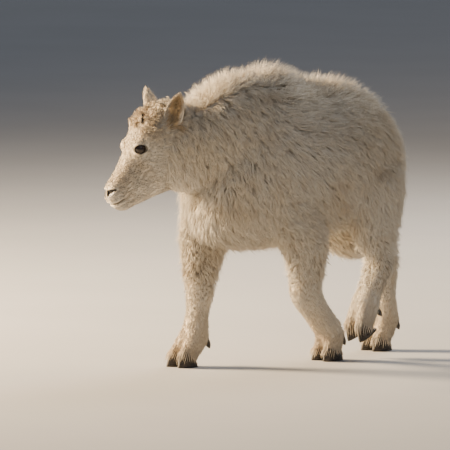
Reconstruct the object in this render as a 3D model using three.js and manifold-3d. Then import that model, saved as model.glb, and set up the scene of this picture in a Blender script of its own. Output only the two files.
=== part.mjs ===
// A mountain goat kid of about two months, walking, as a still, life-size model.
// Millimetres, +Z up. The kid faces -Y and its left side is +X. The origin is on the ground, at the
// middle of the box that holds the whole kid.
// Each part of the body is a smooth form laid through a few sections. The forms are joined, parted by
// thin plane cuts, and dressed in flat, tapered locks where the coat is long and in curls on the brow.
import * as THREE from "three";
import { mergeVertices } from "three/addons/utils/BufferGeometryUtils.js";
import Module from "manifold-3d";

const wasm = await Module();
wasm.setup();

const gap = 0.3; // between two parts that touch
const turn = 2 * Math.PI;
const { lerp, clamp, degToRad } = THREE.MathUtils;

// How far the coat's tips stand out from the hide, and how much of that is solid core.
const coat = { crest: 34, flank: 22, belly: 26, nape: 28, neck: 20, throat: 18, leg: 12 };
const coreShare = 0.45;

// Places on the body are given ahead of the withers, to the kid's left, and up from the ground.
const at = (ahead, left, up) => new THREE.Vector3(left, -ahead, up);

// The trunk's outline to the tips of the coat, from the breast to the rump.
const trunkOutline = [
  { ahead: 159, top: 298, bottom: 245, wide: 24 },
  { ahead: 152, top: 326, bottom: 224, wide: 46 },
  { ahead: 138, top: 368, bottom: 203, wide: 70 },
  { ahead: 108, top: 418, bottom: 194, wide: 86 },
  { ahead: 70, top: 468, bottom: 188, wide: 95 },
  { ahead: 30, top: 494, bottom: 188, wide: 98 },
  { ahead: -10, top: 496, bottom: 191, wide: 99 },
  { ahead: -50, top: 479, bottom: 195, wide: 100 },
  { ahead: -90, top: 471, bottom: 198, wide: 101 },
  { ahead: -135, top: 471, bottom: 206, wide: 101 },
  { ahead: -180, top: 459, bottom: 217, wide: 98 },
  { ahead: -218, top: 436, bottom: 234, wide: 90 },
  { ahead: -245, top: 406, bottom: 258, wide: 73 },
  { ahead: -261, top: 372, bottom: 290, wide: 46 },
  { ahead: -268, top: 350, bottom: 312, wide: 20 },
];
const trunkWidest = 0.46; // how far up each section is widest

// The neck, from inside the trunk to inside the head, turning to the kid's right.
const neckOutline = [
  { ahead: 10, left: 0, up: 372, wide: 74, over: 112, under: 96, yaw: 0 },
  { ahead: 60, left: 0, up: 373, wide: 84, over: 117, under: 100, yaw: 0 },
  { ahead: 105, left: -2, up: 372, wide: 78, over: 106, under: 96, yaw: 4 },
  { ahead: 145, left: -11, up: 371, wide: 67, over: 79, under: 86, yaw: 9 },
  { ahead: 180, left: -23, up: 370, wide: 58, over: 62, under: 77, yaw: 14 },
  { ahead: 212, left: -33, up: 368, wide: 50, over: 54, under: 66, yaw: 15 },
];

// The head hangs from the joint behind the skull. Its own directions are out along the face, to its
// left, and square to both.
const headJoint = at(184, -25, 396);
const headYaw = degToRad(15); // to the kid's right
const headPitch = degToRad(41); // nose down
const headLeft = at(Math.sin(headYaw), Math.cos(headYaw), 0);
const headLevel = at(Math.cos(headYaw), -Math.sin(headYaw), 0);
const headOut = headLevel.clone().multiplyScalar(Math.cos(headPitch)).add(at(0, 0, -Math.sin(headPitch)));
const headUp = headLevel.clone().multiplyScalar(Math.sin(headPitch)).add(at(0, 0, Math.cos(headPitch)));
const inHead = (out, left, up) =>
  headJoint.clone().addScaledVector(headOut, out).addScaledVector(headLeft, left).addScaledVector(headUp, up);
const headOutline = [
  { out: -34, top: 26, bottom: -30, wide: 28, square: 0.9 },
  { out: -20, top: 37, bottom: -48, wide: 39, square: 0.9 },
  { out: 5, top: 45, bottom: -60, wide: 44, square: 0.85 },
  { out: 30, top: 51, bottom: -67, wide: 45, square: 0.8 },
  { out: 55, top: 44, bottom: -70, wide: 42, square: 0.85 },
  { out: 75, top: 32, bottom: -68, wide: 37, square: 0.9 },
  { out: 92, top: 24.5, bottom: -64, wide: 31, square: 0.8 },
  { out: 112, top: 16.5, bottom: -57, wide: 26, square: 0.7 },
  { out: 132, top: 10.5, bottom: -50, wide: 22, square: 0.65 },
  { out: 148, top: 6, bottom: -44, wide: 20, square: 0.6 },
  { out: 157, top: -1, bottom: -38, wide: 16, square: 0.6 },
  { out: 162, top: -8, bottom: -29, wide: 9, square: 0.7 },
];
const headWidest = 0.6;
const jawNarrowing = 1.35; // how fast the head narrows below its widest

const eye = { out: 71, left: 23.5, up: 22.5, radius: 11, lid: 1.6, half: 10.5, high: 6.6 };
const eyeSlant = degToRad(34); // how far the eye's long axis lifts from the line of the face
const brow = { out: 60, left: 20, up: 29, long: 17, wide: 10, high: 7 };
const nostril = { out: 155, left: 11.5, up: -1, long: 8, high: 3.3, deep: 6 };
const mouth = { corner: 141, front: 172, up: -17.5, drop: 6, slit: 1.3, deep: 3 };
const horn = { out: 46, left: 15, up: 38, root: 4.8, tip: 0.8, length: 26 };
const ear = { bow: 3, stub: 0.24 };
const ears = {
  left: { side: 1, root: [26, 30, 2.5], tip: [-32, 57, 54], facing: [0.42, 0.91, 0] },
  right: { side: -1, root: [15, 33, 6], tip: [-29, 68, 58], facing: [0.5, 0.87, 0] },
};
const curl = { rise: 17, over: 9, round: 7.8, spacing: 21, first: 0.1, last: 0.33 };

// The locks: how far apart they grow, and how long, wide and thick they are.
const locks = { spacing: 76, long: 128, half: 43, thick: 10, sunk: 6, sway: 8 };
const crestLocks = { spacing: 20, long: 66, half: 24, thick: 10 };
const legLocks = { spacing: 54, long: 66, half: 25, thick: 7, sunk: 5, sway: 4 };

// Each leg's sections down to its fetlock, with half sizes along and across the leg, then its toe.
const legs = {
  foreleg_right: {
    upper: "forearm",
    part: 168,
    joint: 110,
    sections: [
      { ahead: 78, left: -38, up: 315, deep: 42, wide: 34 },
      { ahead: 90, left: -44, up: 240, deep: 49, wide: 38 },
      { ahead: 103, left: -43, up: 195, deep: 42, wide: 35 },
      { ahead: 110, left: -40, up: 155, deep: 32, wide: 28 },
      { ahead: 114, left: -38, up: 115, deep: 22.5, wide: 22 },
      { ahead: 120, left: -37, up: 84, deep: 18, wide: 18.5 },
      { ahead: 126, left: -36, up: 50, deep: 22, wide: 22 },
    ],
    toe: { ahead: 174, up: 0, tilt: 0 },
  },
  foreleg_left: {
    upper: "forearm",
    part: 168,
    joint: 104,
    sections: [
      { ahead: 40, left: 40, up: 315, deep: 48, wide: 36 },
      { ahead: -15, left: 48, up: 240, deep: 50, wide: 39 },
      { ahead: -43, left: 45, up: 195, deep: 42, wide: 36 },
      { ahead: -49, left: 41, up: 152, deep: 33, wide: 29 },
      { ahead: -51, left: 38, up: 114, deep: 27.5, wide: 23 },
      { ahead: -76, left: 37, up: 80, deep: 21.5, wide: 20 },
      { ahead: -106, left: 36, up: 46, deep: 22, wide: 22 },
    ],
    toe: { ahead: -78, up: 0, tilt: 0 },
  },
  hindleg_right: {
    upper: "gaskin",
    part: 206,
    joint: 165,
    sections: [
      { ahead: -172, left: -38, up: 350, deep: 54, wide: 40 },
      { ahead: -182, left: -54, up: 290, deep: 60, wide: 44 },
      { ahead: -186, left: -54, up: 238, deep: 58, wide: 40 },
      { ahead: -228, left: -49, up: 200, deep: 49, wide: 31 },
      { ahead: -279, left: -43, up: 181, deep: 34, wide: 23 },
      { ahead: -287, left: -40, up: 140, deep: 24, wide: 20 },
      { ahead: -289, left: -38, up: 95, deep: 18, wide: 18 },
      { ahead: -289, left: -37, up: 55, deep: 21, wide: 21.5 },
    ],
    toe: { ahead: -249, up: 0, tilt: 0 },
  },
  hindleg_left: {
    upper: "gaskin",
    part: 206,
    joint: 165,
    sections: [
      { ahead: -172, left: 38, up: 350, deep: 54, wide: 40 },
      { ahead: -182, left: 56, up: 290, deep: 59, wide: 43 },
      { ahead: -187, left: 55, up: 242, deep: 54, wide: 37 },
      { ahead: -196, left: 49, up: 200, deep: 41, wide: 30 },
      { ahead: -207, left: 44, up: 168, deep: 27, wide: 24 },
      { ahead: -201, left: 42, up: 136, deep: 22, wide: 20.5 },
      { ahead: -190, left: 40, up: 112, deep: 20.5, wide: 20 },
      { ahead: -180, left: 39, up: 88, deep: 22.5, wide: 23 },
    ],
    toe: { ahead: -155, up: 27, tilt: 30 },
  },
};
const hoof = { length: 44, crown: 18, half: 10.5, spread: 13, splay: 4, sides: 12 };
const toeForm = { root: 7, deep: 22, wide: 15.5, endDeep: 17, endWide: 11.5 };
const dewclaw = { length: 12, radius: 4.6, spread: 9.5, sunk: 3.5, below: 11 };

const tail = [
  { ahead: -232, up: 390, deep: 12, wide: 20 },
  { ahead: -250, up: 384, deep: 13, wide: 22 },
  { ahead: -263, up: 366, deep: 11, wide: 22 },
  { ahead: -269, up: 342, deep: 8, wide: 17 },
  { ahead: -271, up: 318, deep: 4, wide: 7 },
];

// A number that runs smoothly through a row of numbers, from the first at 0 to the last at 1.
function through(values, place) {
  const last = values.length - 1;
  const first = clamp(Math.floor(place * last), 0, last - 1);
  const f = place * last - first;
  const [a, b, c, d] = [-1, 0, 1, 2].map((k) => values[clamp(first + k, 0, last)]);
  return b + 0.5 * f * (c - a + f * (2 * a - 5 * b + 4 * c - d + f * (3 * (b - c) + d - a)));
}

// A smooth, rounded form laid through its sections. Each section has a centre, the directions side
// and rise of its plane, half sizes wide, over and under, and the depth of its long coat there.
class Form {
  constructor(sections) {
    this.sections = sections;
  }

  number(key, place) {
    return through(
      this.sections.map((s) => s[key] ?? 0),
      place,
    );
  }

  vector(key, place) {
    const part = (axis) => through(this.sections.map((s) => s[key][axis]), place);
    return new THREE.Vector3(part("x"), part("y"), part("z"));
  }

  // A point of the surface. Angle runs from the side, a quarter turn to the top, and on round.
  point(place, angle, grow = 0) {
    const cos = Math.cos(angle);
    const sin = Math.sin(angle);
    const high = sin > 0;
    const bend = this.number(high ? "square" : "narrow", place) || 1;
    const across = Math.sign(cos) * Math.abs(cos) ** bend * (this.number("wide", place) + grow);
    const tall = sin * (this.number(high ? "over" : "under", place) + grow);
    return this.vector("centre", place)
      .addScaledVector(this.vector("side", place), across)
      .addScaledVector(this.vector("rise", place), tall);
  }

  // How much further out the tips of the long coat are than the core.
  depth(place, angle) {
    const sin = Math.sin(angle);
    const end = this.number(sin > 0 ? "coatOver" : "coatUnder", place);
    return (1 - coreShare) * lerp(this.number("coatSide", place), end, Math.abs(sin) ** 4);
  }

  // Whether a point lies inside, or within some margin of the surface.
  holds(point, margin = 0) {
    let place = 0;
    let least = Infinity;
    for (let k = 0; k <= 60; k++) {
      const off = this.vector("centre", k / 60).distanceTo(point);
      if (off < least) [least, place] = [off, k / 60];
    }
    const from = point.clone().sub(this.vector("centre", place));
    const tall = from.dot(this.vector("rise", place)) / (this.number("over", place) + margin);
    const wide = from.dot(this.vector("side", place)) / (this.number("wide", place) + margin);
    const along = this.frame(place, 0).along.normalize();
    return tall ** 2 + wide ** 2 < 1 && Math.abs(from.dot(along)) < 12;
  }

  frame(place, angle) {
    const step = 0.01;
    const before = this.point(clamp(place - step, 0, 1), angle);
    const along = this.point(clamp(place + step, 0, 1), angle).sub(before);
    const around = this.point(place, angle + step).sub(this.point(place, angle - step));
    const span = clamp(place + step, 0, 1) - clamp(place - step, 0, 1);
    along.divideScalar(span);
    around.divideScalar(2 * step);
    const normal = along.clone().cross(around).normalize();
    if (normal.dot(this.point(place, angle).sub(this.vector("centre", place))) < 0) normal.negate();
    return { along, around, normal };
  }

  // Moves over the surface by a distance, in the direction nearest to the one given.
  walk(place, angle, direction, distance) {
    const { along, around, normal } = this.frame(place, angle);
    const flat = direction.clone().addScaledVector(normal, -direction.dot(normal)).normalize();
    const [aa, ab, bb] = [along.dot(along), along.dot(around), around.dot(around)];
    const [fa, fb] = [flat.dot(along), flat.dot(around)];
    const area = aa * bb - ab * ab;
    return {
      place: clamp(place + ((fa * bb - fb * ab) / area) * distance, 0.002, 0.998),
      angle: angle + ((fb * aa - fa * ab) / area) * distance,
    };
  }

  geometry(rings, sides, grow = 0) {
    const corners = [];
    for (let r = 0; r <= rings; r++) {
      corners.push(Array.from({ length: sides }, (_, s) => this.point(r / rings, (s / sides) * turn, grow)));
    }
    return tube(corners, [this.vector("centre", 0), this.vector("centre", 1)]);
  }
}

// A closed surface through rings of corners, with a fan to a middle corner at each end.
function tube(rings, [start, end]) {
  const sides = rings[0].length;
  const count = rings.length * sides;
  const faces = [];
  for (let s = 0; s < sides; s++) {
    const next = (s + 1) % sides;
    faces.push(count, next, s, count + 1, count - sides + s, count - sides + next);
    for (let r = 0; r < count - sides; r += sides) {
      faces.push(r + s, r + next, r + next + sides, r + s, r + next + sides, r + s + sides);
    }
  }
  const geometry = new THREE.BufferGeometry().setFromPoints([...rings.flat(), start, end]);
  geometry.setIndex(faces);
  return geometry;
}

function middle(corners) {
  return corners.reduce((sum, corner) => sum.add(corner), new THREE.Vector3()).divideScalar(corners.length);
}

// A closed surface as a solid that can be joined and cut, whichever way round its faces were made.
function solid(geometry) {
  const bare = new THREE.BufferGeometry().setAttribute("position", geometry.getAttribute("position"));
  if (geometry.index) bare.setIndex(geometry.index);
  const merged = mergeVertices(bare, 1e-4);
  const triVerts = new Uint32Array(merged.index.array);
  const made = new wasm.Manifold(
    new wasm.Mesh({ numProp: 3, vertProperties: merged.attributes.position.array, triVerts }),
  );
  if (made.volume() > 0) return made;
  for (let i = 0; i < triVerts.length; i += 3) {
    [triVerts[i], triVerts[i + 1]] = [triVerts[i + 1], triVerts[i]];
  }
  return new wasm.Manifold(
    new wasm.Mesh({ numProp: 3, vertProperties: merged.attributes.position.array, triVerts }),
  );
}

const join = (...solids) => wasm.Manifold.union(solids.flat());
const largest = (made) => made.decompose().reduce((a, b) => (a.volume() > b.volume() ? a : b));

// The part of a solid on the side of a plane that its normal points to, half a gap clear of the plane.
function beyond(made, plane, side = 1) {
  const normal = plane.normal.clone().multiplyScalar(side);
  return made.trimByPlane(normal.toArray(), normal.dot(plane.point) + gap / 2);
}

function ellipsoid(centre, axes, sizes, columns = 14, rows = 8) {
  const scaled = axes.map((axis, i) => axis.clone().multiplyScalar(sizes[i]));
  const basis = new THREE.Matrix4().makeBasis(...scaled);
  return new THREE.SphereGeometry(1, columns, rows).applyMatrix4(basis.setPosition(centre));
}
const headAxes = [headOut, headLeft, headUp];

// A draw between two limits that comes out the same each time the kid is built.
let draws = 37;
function draw(low, high) {
  draws = (draws * 48271) % 2147483647;
  return lerp(low, high, draws / 2147483647);
}

// Spots spread over a form in staggered rows.
function spots(form, from, to, spacing) {
  const found = [];
  let before = form.point(from, 0).addScalar(spacing);
  let row = 0;
  for (let place = from; place <= to; place += 0.004) {
    const here = form.point(place, 0);
    if (here.distanceTo(before) < spacing) continue;
    before = here;
    row += 1;
    const ring = Array.from({ length: 25 }, (_, k) => form.point(place, (k / 24) * turn));
    const round = ring.reduce((sum, corner, k) => sum + (k ? corner.distanceTo(ring[k - 1]) : 0), 0);
    const count = Math.max(Math.round(round / spacing), 3);
    for (let k = 0; k < count; k++) {
      const angle = ((k + (row % 2) / 2 + draw(-0.16, 0.16)) / count) * turn;
      found.push({ place: clamp(place + draw(-0.012, 0.012), 0.01, 0.99), angle });
    }
  }
  return found;
}

// Whether every face of a lock looks away from the middle of its own stretch, so that none is folded.
function unfolded(rings) {
  const facings = [];
  for (let k = 0; k + 1 < rings.length; k++) {
    const heart = middle([...rings[k], ...rings[k + 1]]);
    for (let j = 0; j < 3; j++) {
      const next = (j + 1) % 3;
      const [a, b, c, d] = [rings[k][j], rings[k][next], rings[k + 1][next], rings[k + 1][j]];
      for (const face of [[a, b, c], [a, c, d]]) {
        const normal = face[1].clone().sub(face[0]).cross(face[2].clone().sub(face[0]));
        facings.push(normal.dot(middle(face).sub(heart)));
      }
    }
  }
  const least = 0.1;
  const end = facings.splice(-3).filter((facing) => Math.abs(facing) > least);
  const all = [...facings, ...end];
  return all.every((facing) => facing > -least) || all.every((facing) => facing < least);
}

// A flat, tapered lock that lies along the flow over the form it grows from. Its root is sunk in the
// core, and its tip is out at the coat's full depth. It is made narrower where the form turns sharply.
function lock(form, { place, angle }, flow, kind) {
  const long = kind.long * draw(0.88, 1.12);
  const tip = form.depth(place, angle) * draw(0.85, 1.1);
  const sway = draw(-1, 1) * kind.sway;
  const shares = [0, 0.4, 0.74, 1];
  let spot = { place, angle };
  const stations = shares.map((share) => {
    const { normal } = form.frame(spot.place, spot.angle);
    const across = normal.clone().cross(flow).normalize();
    const centre = form
      .point(spot.place, spot.angle)
      .addScaledVector(normal, lerp(-kind.sunk, tip, share ** 0.6))
      .addScaledVector(across, sway * Math.sin(share * 4.5));
    spot = form.walk(spot.place, spot.angle, flow, long * 0.34);
    return { centre, across, normal };
  });
  for (const narrowing of [1, 0.8, 0.62, 0.48]) {
    const rings = stations.map(({ centre, across, normal }, i) => {
      const half = across.clone().multiplyScalar([0.85, 1, 0.6, 0][i] * kind.half * narrowing);
      const ridge = normal.clone().multiplyScalar([0.7, 1, 0.7, 0][i] * kind.thick);
      return [centre.clone().add(half), centre.clone().add(ridge), centre.clone().sub(half)];
    });
    if (unfolded(rings)) return solid(tube(rings.slice(0, 3), [middle(rings[0]), rings[3][0]]));
  }
  return null;
}

// A lock of the crest. It stands up from its root and bends back.
function tuft(form, place, angle, side) {
  const { normal } = form.frame(place, angle);
  const tall = form.depth(place, angle) * draw(0.85, 1.1);
  const back = at(-1, side * draw(0, 0.4), 0).addScaledVector(normal, normal.y).normalize();
  const across = normal.clone().cross(back).normalize();
  const rings = [];
  let end;
  const stations = [
    { share: -0.35, wide: 1, thick: 1.2 },
    { share: 0.35, wide: 0.9, thick: 1 },
    { share: 0.75, wide: 0.55, thick: 0.7 },
    { share: 1, wide: 0, thick: 0 },
  ];
  for (const { share, wide, thick } of stations) {
    end = form
      .point(place, angle)
      .addScaledVector(normal, share * tall)
      .addScaledVector(back, Math.max(share, 0) ** 1.5 * crestLocks.long * 0.55);
    const half = across.clone().multiplyScalar(wide * crestLocks.half);
    const ridge = back.clone().multiplyScalar(-thick * crestLocks.thick);
    if (wide) rings.push([end.clone().add(half), end.clone().add(ridge), end.clone().sub(half)]);
  }
  return solid(tube(rings, [middle(rings[0]), end]));
}

// The trunk. Its ends draw in by the share of the coat that its locks stand out.
const trunkMiddle = (trunkOutline[0].ahead + trunkOutline.at(-1).ahead) / 2;
const trunkLong = trunkOutline[0].ahead - trunkOutline.at(-1).ahead;
const proud = 1 - coreShare;
const drawIn = 1 - (2 * proud * coat.flank) / trunkLong;
const trunk = new Form(
  trunkOutline.map(({ ahead, top, bottom, wide }) => {
    const level = lerp(bottom, top, trunkWidest);
    const small = 0.45; // the least that the end sections shrink to
    return {
      centre: at(trunkMiddle + (ahead - trunkMiddle) * drawIn, 0, level),
      side: at(0, 1, 0),
      rise: at(0, 0, 1),
      wide: Math.max(wide - proud * coat.flank, small * wide),
      over: Math.max(top - level - proud * coat.crest, small * (top - level)),
      under: Math.max(level - bottom - proud * coat.belly, small * (level - bottom)),
      square: 1.08,
      narrow: 0.92,
      coatOver: coat.crest,
      coatSide: coat.flank,
      coatUnder: coat.belly,
    };
  }),
);

const neck = new Form(
  neckOutline.map(({ ahead, left, up, wide, over, under, yaw }) => ({
    centre: at(ahead, left, up),
    side: at(Math.sin(degToRad(yaw)), Math.cos(degToRad(yaw)), 0),
    rise: at(0, 0, 1),
    wide: wide - proud * coat.neck,
    over: over - proud * coat.nape,
    under: under - proud * coat.throat,
    square: 1.1,
    narrow: 1,
    coatOver: coat.nape,
    coatSide: coat.neck,
    coatUnder: coat.throat,
  })),
);

const head = new Form(
  headOutline.map(({ out, top, bottom, wide, square }) => {
    const level = lerp(bottom, top, headWidest);
    return {
      centre: inHead(out, 0, level),
      side: headLeft,
      rise: headUp,
      wide,
      over: top - level,
      under: level - bottom,
      square,
      narrow: jawNarrowing,
    };
  }),
);

// A limb's sections stand square to its path, which runs down the leg or the tail.
function limb(sections, coatDepth = () => 0) {
  const centres = sections.map(({ ahead, left = 0, up }) => at(ahead, left, up));
  return new Form(
    sections.map(({ deep, wide, up }, i) => {
      const before = centres[Math.max(i - 1, 0)];
      const after = centres[Math.min(i + 1, centres.length - 1)];
      const along = after.clone().sub(before).setX(0).normalize();
      const depth = coatDepth(up);
      return {
        centre: centres[i],
        side: at(0, 1, 0),
        rise: new THREE.Vector3(1, 0, 0).cross(along).normalize(),
        wide: wide - proud * depth,
        over: deep - proud * depth,
        under: deep - proud * depth,
        coatOver: depth,
        coatSide: depth,
        coatUnder: depth,
      };
    }),
  );
}

const neckPlane = { point: at(100, 0, 480), normal: at(0.958, 0, 0.287) };
const tailPlane = { point: at(-250, 0, 384), normal: at(-0.75, 0, -0.66) };
const headPlane = {
  point: headJoint.clone().addScaledVector(headLevel, -2.5),
  normal: headLevel.clone().add(at(0, 0, 0.07)).normalize(),
};

const white = new THREE.MeshStandardMaterial({ color: 0xe9dcc3, roughness: 0.95 });
const horny = new THREE.MeshStandardMaterial({ color: 0x24201d, roughness: 0.55 });
const glossy = new THREE.MeshStandardMaterial({ color: 0x1c0f08, roughness: 0.08 });

const kid = new THREE.Group();
function node(name, made, material) {
  const { numProp, numVert, vertProperties, triVerts } = largest(made).getMesh();
  const corners = new Float32Array(numVert * 3);
  for (let i = 0; i < numVert; i++) corners.set(vertProperties.subarray(i * numProp, i * numProp + 3), i * 3);
  const geometry = new THREE.BufferGeometry();
  geometry.setAttribute("position", new THREE.BufferAttribute(corners, 3));
  geometry.setIndex(new THREE.BufferAttribute(triVerts, 1));
  geometry.computeVertexNormals();
  const mesh = new THREE.Mesh(geometry, material);
  mesh.name = name;
  kid.add(mesh);
}

// One foot: two toes of flesh from the fetlock to the hooves, the hooves, and the dewclaws behind.
function foot(name, { sections, toe }) {
  const { ahead, left, up, deep } = sections.at(-1);
  const tilt = degToRad(toe.tilt);
  const back = at(-Math.cos(tilt), 0, Math.sin(tilt));
  const rise = at(Math.sin(tilt), 0, Math.cos(tilt));
  const inHoof = (behind, across, high) =>
    at(toe.ahead, left + across, toe.up).addScaledVector(back, behind).addScaledVector(rise, high);
  const fetlock = at(ahead, left, up);
  const flesh = [];
  const cuts = [];
  for (const [label, side] of Object.entries({ left: 1, right: -1 })) {
    const crown = inHoof(0.5 * hoof.length, side * hoof.spread, hoof.crown);
    const root = fetlock.clone().add(at(0, side * toeForm.root, 0));
    const along = crown.clone().sub(root).normalize();
    const heelward = new THREE.Vector3(1, 0, 0).cross(along).normalize();
    const across = along.clone().cross(heelward).negate();
    if (across.x < 0) across.negate();
    const toeFlesh = new Form(
      [-0.1, 0.3, 0.65, 1.05].map((share) => ({
        centre: root.clone().lerp(crown, share),
        side: across,
        rise: heelward,
        wide: lerp(toeForm.wide, toeForm.endWide, share),
        over: lerp(toeForm.deep, toeForm.endDeep, share),
        under: lerp(toeForm.deep, toeForm.endDeep, share),
      })),
    );
    const crownPlane = { point: crown, normal: along };
    flesh.push(beyond(solid(toeFlesh.geometry(3, 8)), crownPlane, -1));

    // The hoof runs from a round crown, where the flesh ends, to a flat sole with a pointed toe.
    const rings = [[], [], []];
    for (let k = 0; k < hoof.sides; k++) {
      const angle = (k / hoof.sides) * turn;
      const reach = 0.5 + 0.5 * Math.cos(angle); // 0 at the toe, 1 at the heel
      const middle = side * (hoof.spread + hoof.splay * (0.5 - reach));
      const wide = Math.sin(angle) * hoof.half * (0.8 + 0.3 * reach);
      const low = inHoof(reach * hoof.length, middle + wide, 0);
      const high = crown
        .clone()
        .addScaledVector(heelward, (2 * reach - 1) * (toeForm.endDeep - 1))
        .addScaledVector(across, Math.sin(angle) * (toeForm.endWide - 1));
      rings[0].push(high);
      rings[1].push(high.clone().lerp(low, 0.5).addScaledVector(back, (reach - 0.5) * 2));
      rings[2].push(low);
    }
    const ends = [crown, inHoof(0.5 * hoof.length, side * hoof.spread, 0)];
    node(`${name}_hoof_${label}`, beyond(solid(tube(rings, ends)), crownPlane), horny);

    // A dewclaw behind the fetlock: the root of it is in the foot, and a plane parts the two.
    const down = at(ahead - deep + dewclaw.sunk, left + side * dewclaw.spread, up - dewclaw.below);
    const point = at(-0.45, 0, -0.89).applyAxisAngle(at(0, 1, 0), -tilt * 0.5);
    const claw = new Form(
      [-0.7, 0.15, 0.6, 1].map((share, i) => ({
        centre: down.clone().addScaledVector(point, share * dewclaw.length),
        side: at(0, 1, 0),
        rise: new THREE.Vector3(1, 0, 0).cross(point).normalize(),
        wide: dewclaw.radius * [1.1, 1, 0.8, 0.25][i],
        over: dewclaw.radius * [1.1, 1, 0.8, 0.25][i],
        under: dewclaw.radius * [1.1, 1, 0.8, 0.25][i],
      })),
    );
    const clawPlane = { point: down, normal: point };
    const whole = solid(claw.geometry(4, 7));
    flesh.push(beyond(whole, clawPlane, -1));
    cuts.push(beyond(solid(claw.geometry(4, 7, gap)), clawPlane));
    node(`${name}_dewclaw_${label}`, beyond(whole, clawPlane), horny);
  }
  return { flesh, cuts };
}

for (const [name, leg] of Object.entries(legs)) {
  leg.form = limb(leg.sections, (up) => (up > 140 ? coat.leg : 0));
  leg.whole = solid(leg.form.geometry(13, 10));
  const flatAt = (up) => ({ point: at(0, 0, up), normal: at(0, 0, 1) });
  const fetlockUp = leg.sections.at(-1).up + 8;
  const below = beyond(leg.whole, flatAt(leg.part), -1);
  const lowest = beyond(leg.whole, flatAt(fetlockUp), -1);
  leg.stub = beyond(leg.whole, flatAt(leg.part));
  node(`${name}_${leg.upper}`, beyond(below, flatAt(leg.joint)), white);
  node(`${name}_cannon`, beyond(beyond(below, flatAt(leg.joint), -1), flatAt(fetlockUp)), white);
  const { flesh, cuts } = foot(name, leg);
  node(`${name}_foot`, beyond(join(lowest, flesh).subtract(join(cuts)), flatAt(fetlockUp), -1), white);
}

// Each ear is a leaf with a bowed back, hollowed from the side that it faces.
for (const one of Object.values(ears)) {
  const base = inHead(one.root[0], one.side * one.root[1], one.root[2]);
  const along = inHead(one.tip[0], one.side * one.tip[1], one.tip[2]).sub(base);
  const facing = inHead(one.facing[0], one.side * one.facing[1], one.facing[2]).sub(headJoint);
  facing.addScaledVector(along, -facing.dot(along) / along.lengthSq()).normalize();
  const across = along.clone().cross(facing).normalize();
  const leaf = (shares, halves, fronts, backs) =>
    new Form(
      shares.map((share, i) => ({
        centre: base
          .clone()
          .addScaledVector(along, share)
          .addScaledVector(facing, -ear.bow * Math.sin(share * 3)),
        side: across,
        rise: facing,
        wide: halves[i],
        over: fronts[i],
        under: backs[i],
      })),
    );
  const shares = [0, 0.22, 0.42, 0.62, 0.82, 1];
  const outer = leaf(shares, [11, 14.5, 16.8, 15.4, 10.4, 1.6], [5, 4, 3, 3, 2, 0.5], [9, 9, 9, 8, 5, 0.8]);
  const inner = leaf(
    shares.map((share) => lerp(0.24, 0.94, share)),
    [3, 11, 14.2, 12.4, 7.5, 0.8],
    [9, 14, 14, 14, 12, 8],
    [2, 6, 7, 6, 4, 0.6],
  );
  one.whole = solid(outer.geometry(8, 10)).subtract(solid(inner.geometry(6, 8)));
  one.clear = solid(outer.geometry(8, 10, 3 * gap));
  one.rootPlane = { point: base.addScaledVector(along, ear.stub), normal: along.normalize() };
}

const core = join(solid(trunk.geometry(18, 18)), solid(neck.geometry(8, 18)));
const stubs = Object.values(legs).map((leg) => leg.stub);
const tailForm = limb(tail);
const tailSolid = solid(tailForm.geometry(7, 10));
const tailBone = beyond(tailSolid, tailPlane, -1);

// The long coat lies back and down over the trunk and neck, and more steeply over the thighs.
const flow = at(-1, 0, -0.75).normalize();
const steep = at(-0.5, 0, -1).normalize();
const grown = [];
const onTop = (angle) => Math.sin(angle) > 0.93;
for (const spot of spots(trunk, 0.09, 0.9, locks.spacing)) {
  const inNeck = neck.holds(trunk.point(spot.place, spot.angle), -4);
  if (!inNeck && !onTop(spot.angle)) grown.push(lock(trunk, spot, flow, locks));
}
for (const spot of spots(neck, 0.3, 0.86, locks.spacing)) {
  const inTrunk = trunk.holds(neck.point(spot.place, spot.angle), -4);
  if (!inTrunk && !onTop(spot.angle)) grown.push(lock(neck, spot, flow, locks));
}
for (const { form, part } of Object.values(legs)) {
  for (const spot of spots(form, 0.12, 0.5, legLocks.spacing)) {
    const root = form.point(spot.place, spot.angle);
    const inner = form.frame(spot.place, spot.angle).normal.x * root.x < 0;
    if (root.z > part + 20 && !inner && !trunk.holds(root, 3)) grown.push(lock(form, spot, steep, legLocks));
  }
}

// The crest stands up along the neck, the withers and the back, its locks leaning to either side.
let lastCrest = at(1000, 0, 0);
const crestRuns = [
  { form: neck, from: 0.92, to: 0.26 },
  { form: trunk, from: 0.3, to: 0.93 },
];
for (const { form, from, to } of crestRuns) {
  for (let share = 0; share <= 1; share += 0.005) {
    const place = lerp(from, to, share);
    const root = form.point(place, turn / 4);
    if (root.distanceTo(lastCrest) < crestLocks.spacing) continue;
    lastCrest = root;
    const side = (grown.length % 2) * 2 - 1;
    grown.push(tuft(form, place, turn / 4 + side * draw(0.05, 0.3), side));
  }
}
const dressed = join(core, stubs, tailBone, grown.filter(Boolean));
const lowerLegs = Object.values(legs).map(({ form, part }) =>
  beyond(solid(form.geometry(13, 10, gap)), { point: at(0, 0, part), normal: at(0, 0, 1) }, -1),
);
const tailHole = beyond(solid(tailForm.geometry(7, 10, gap)), tailPlane);
node("torso", beyond(dressed, neckPlane, -1).subtract(join(lowerLegs, tailHole)), white);
const earRoom = Object.values(ears).map(({ clear }) => clear);
node("neck", beyond(beyond(dressed, neckPlane), headPlane, -1).subtract(join(earRoom)), white);
node("tail", beyond(tailSolid, tailPlane).subtract(solid(trunk.geometry(18, 18, gap))), white);

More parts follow.
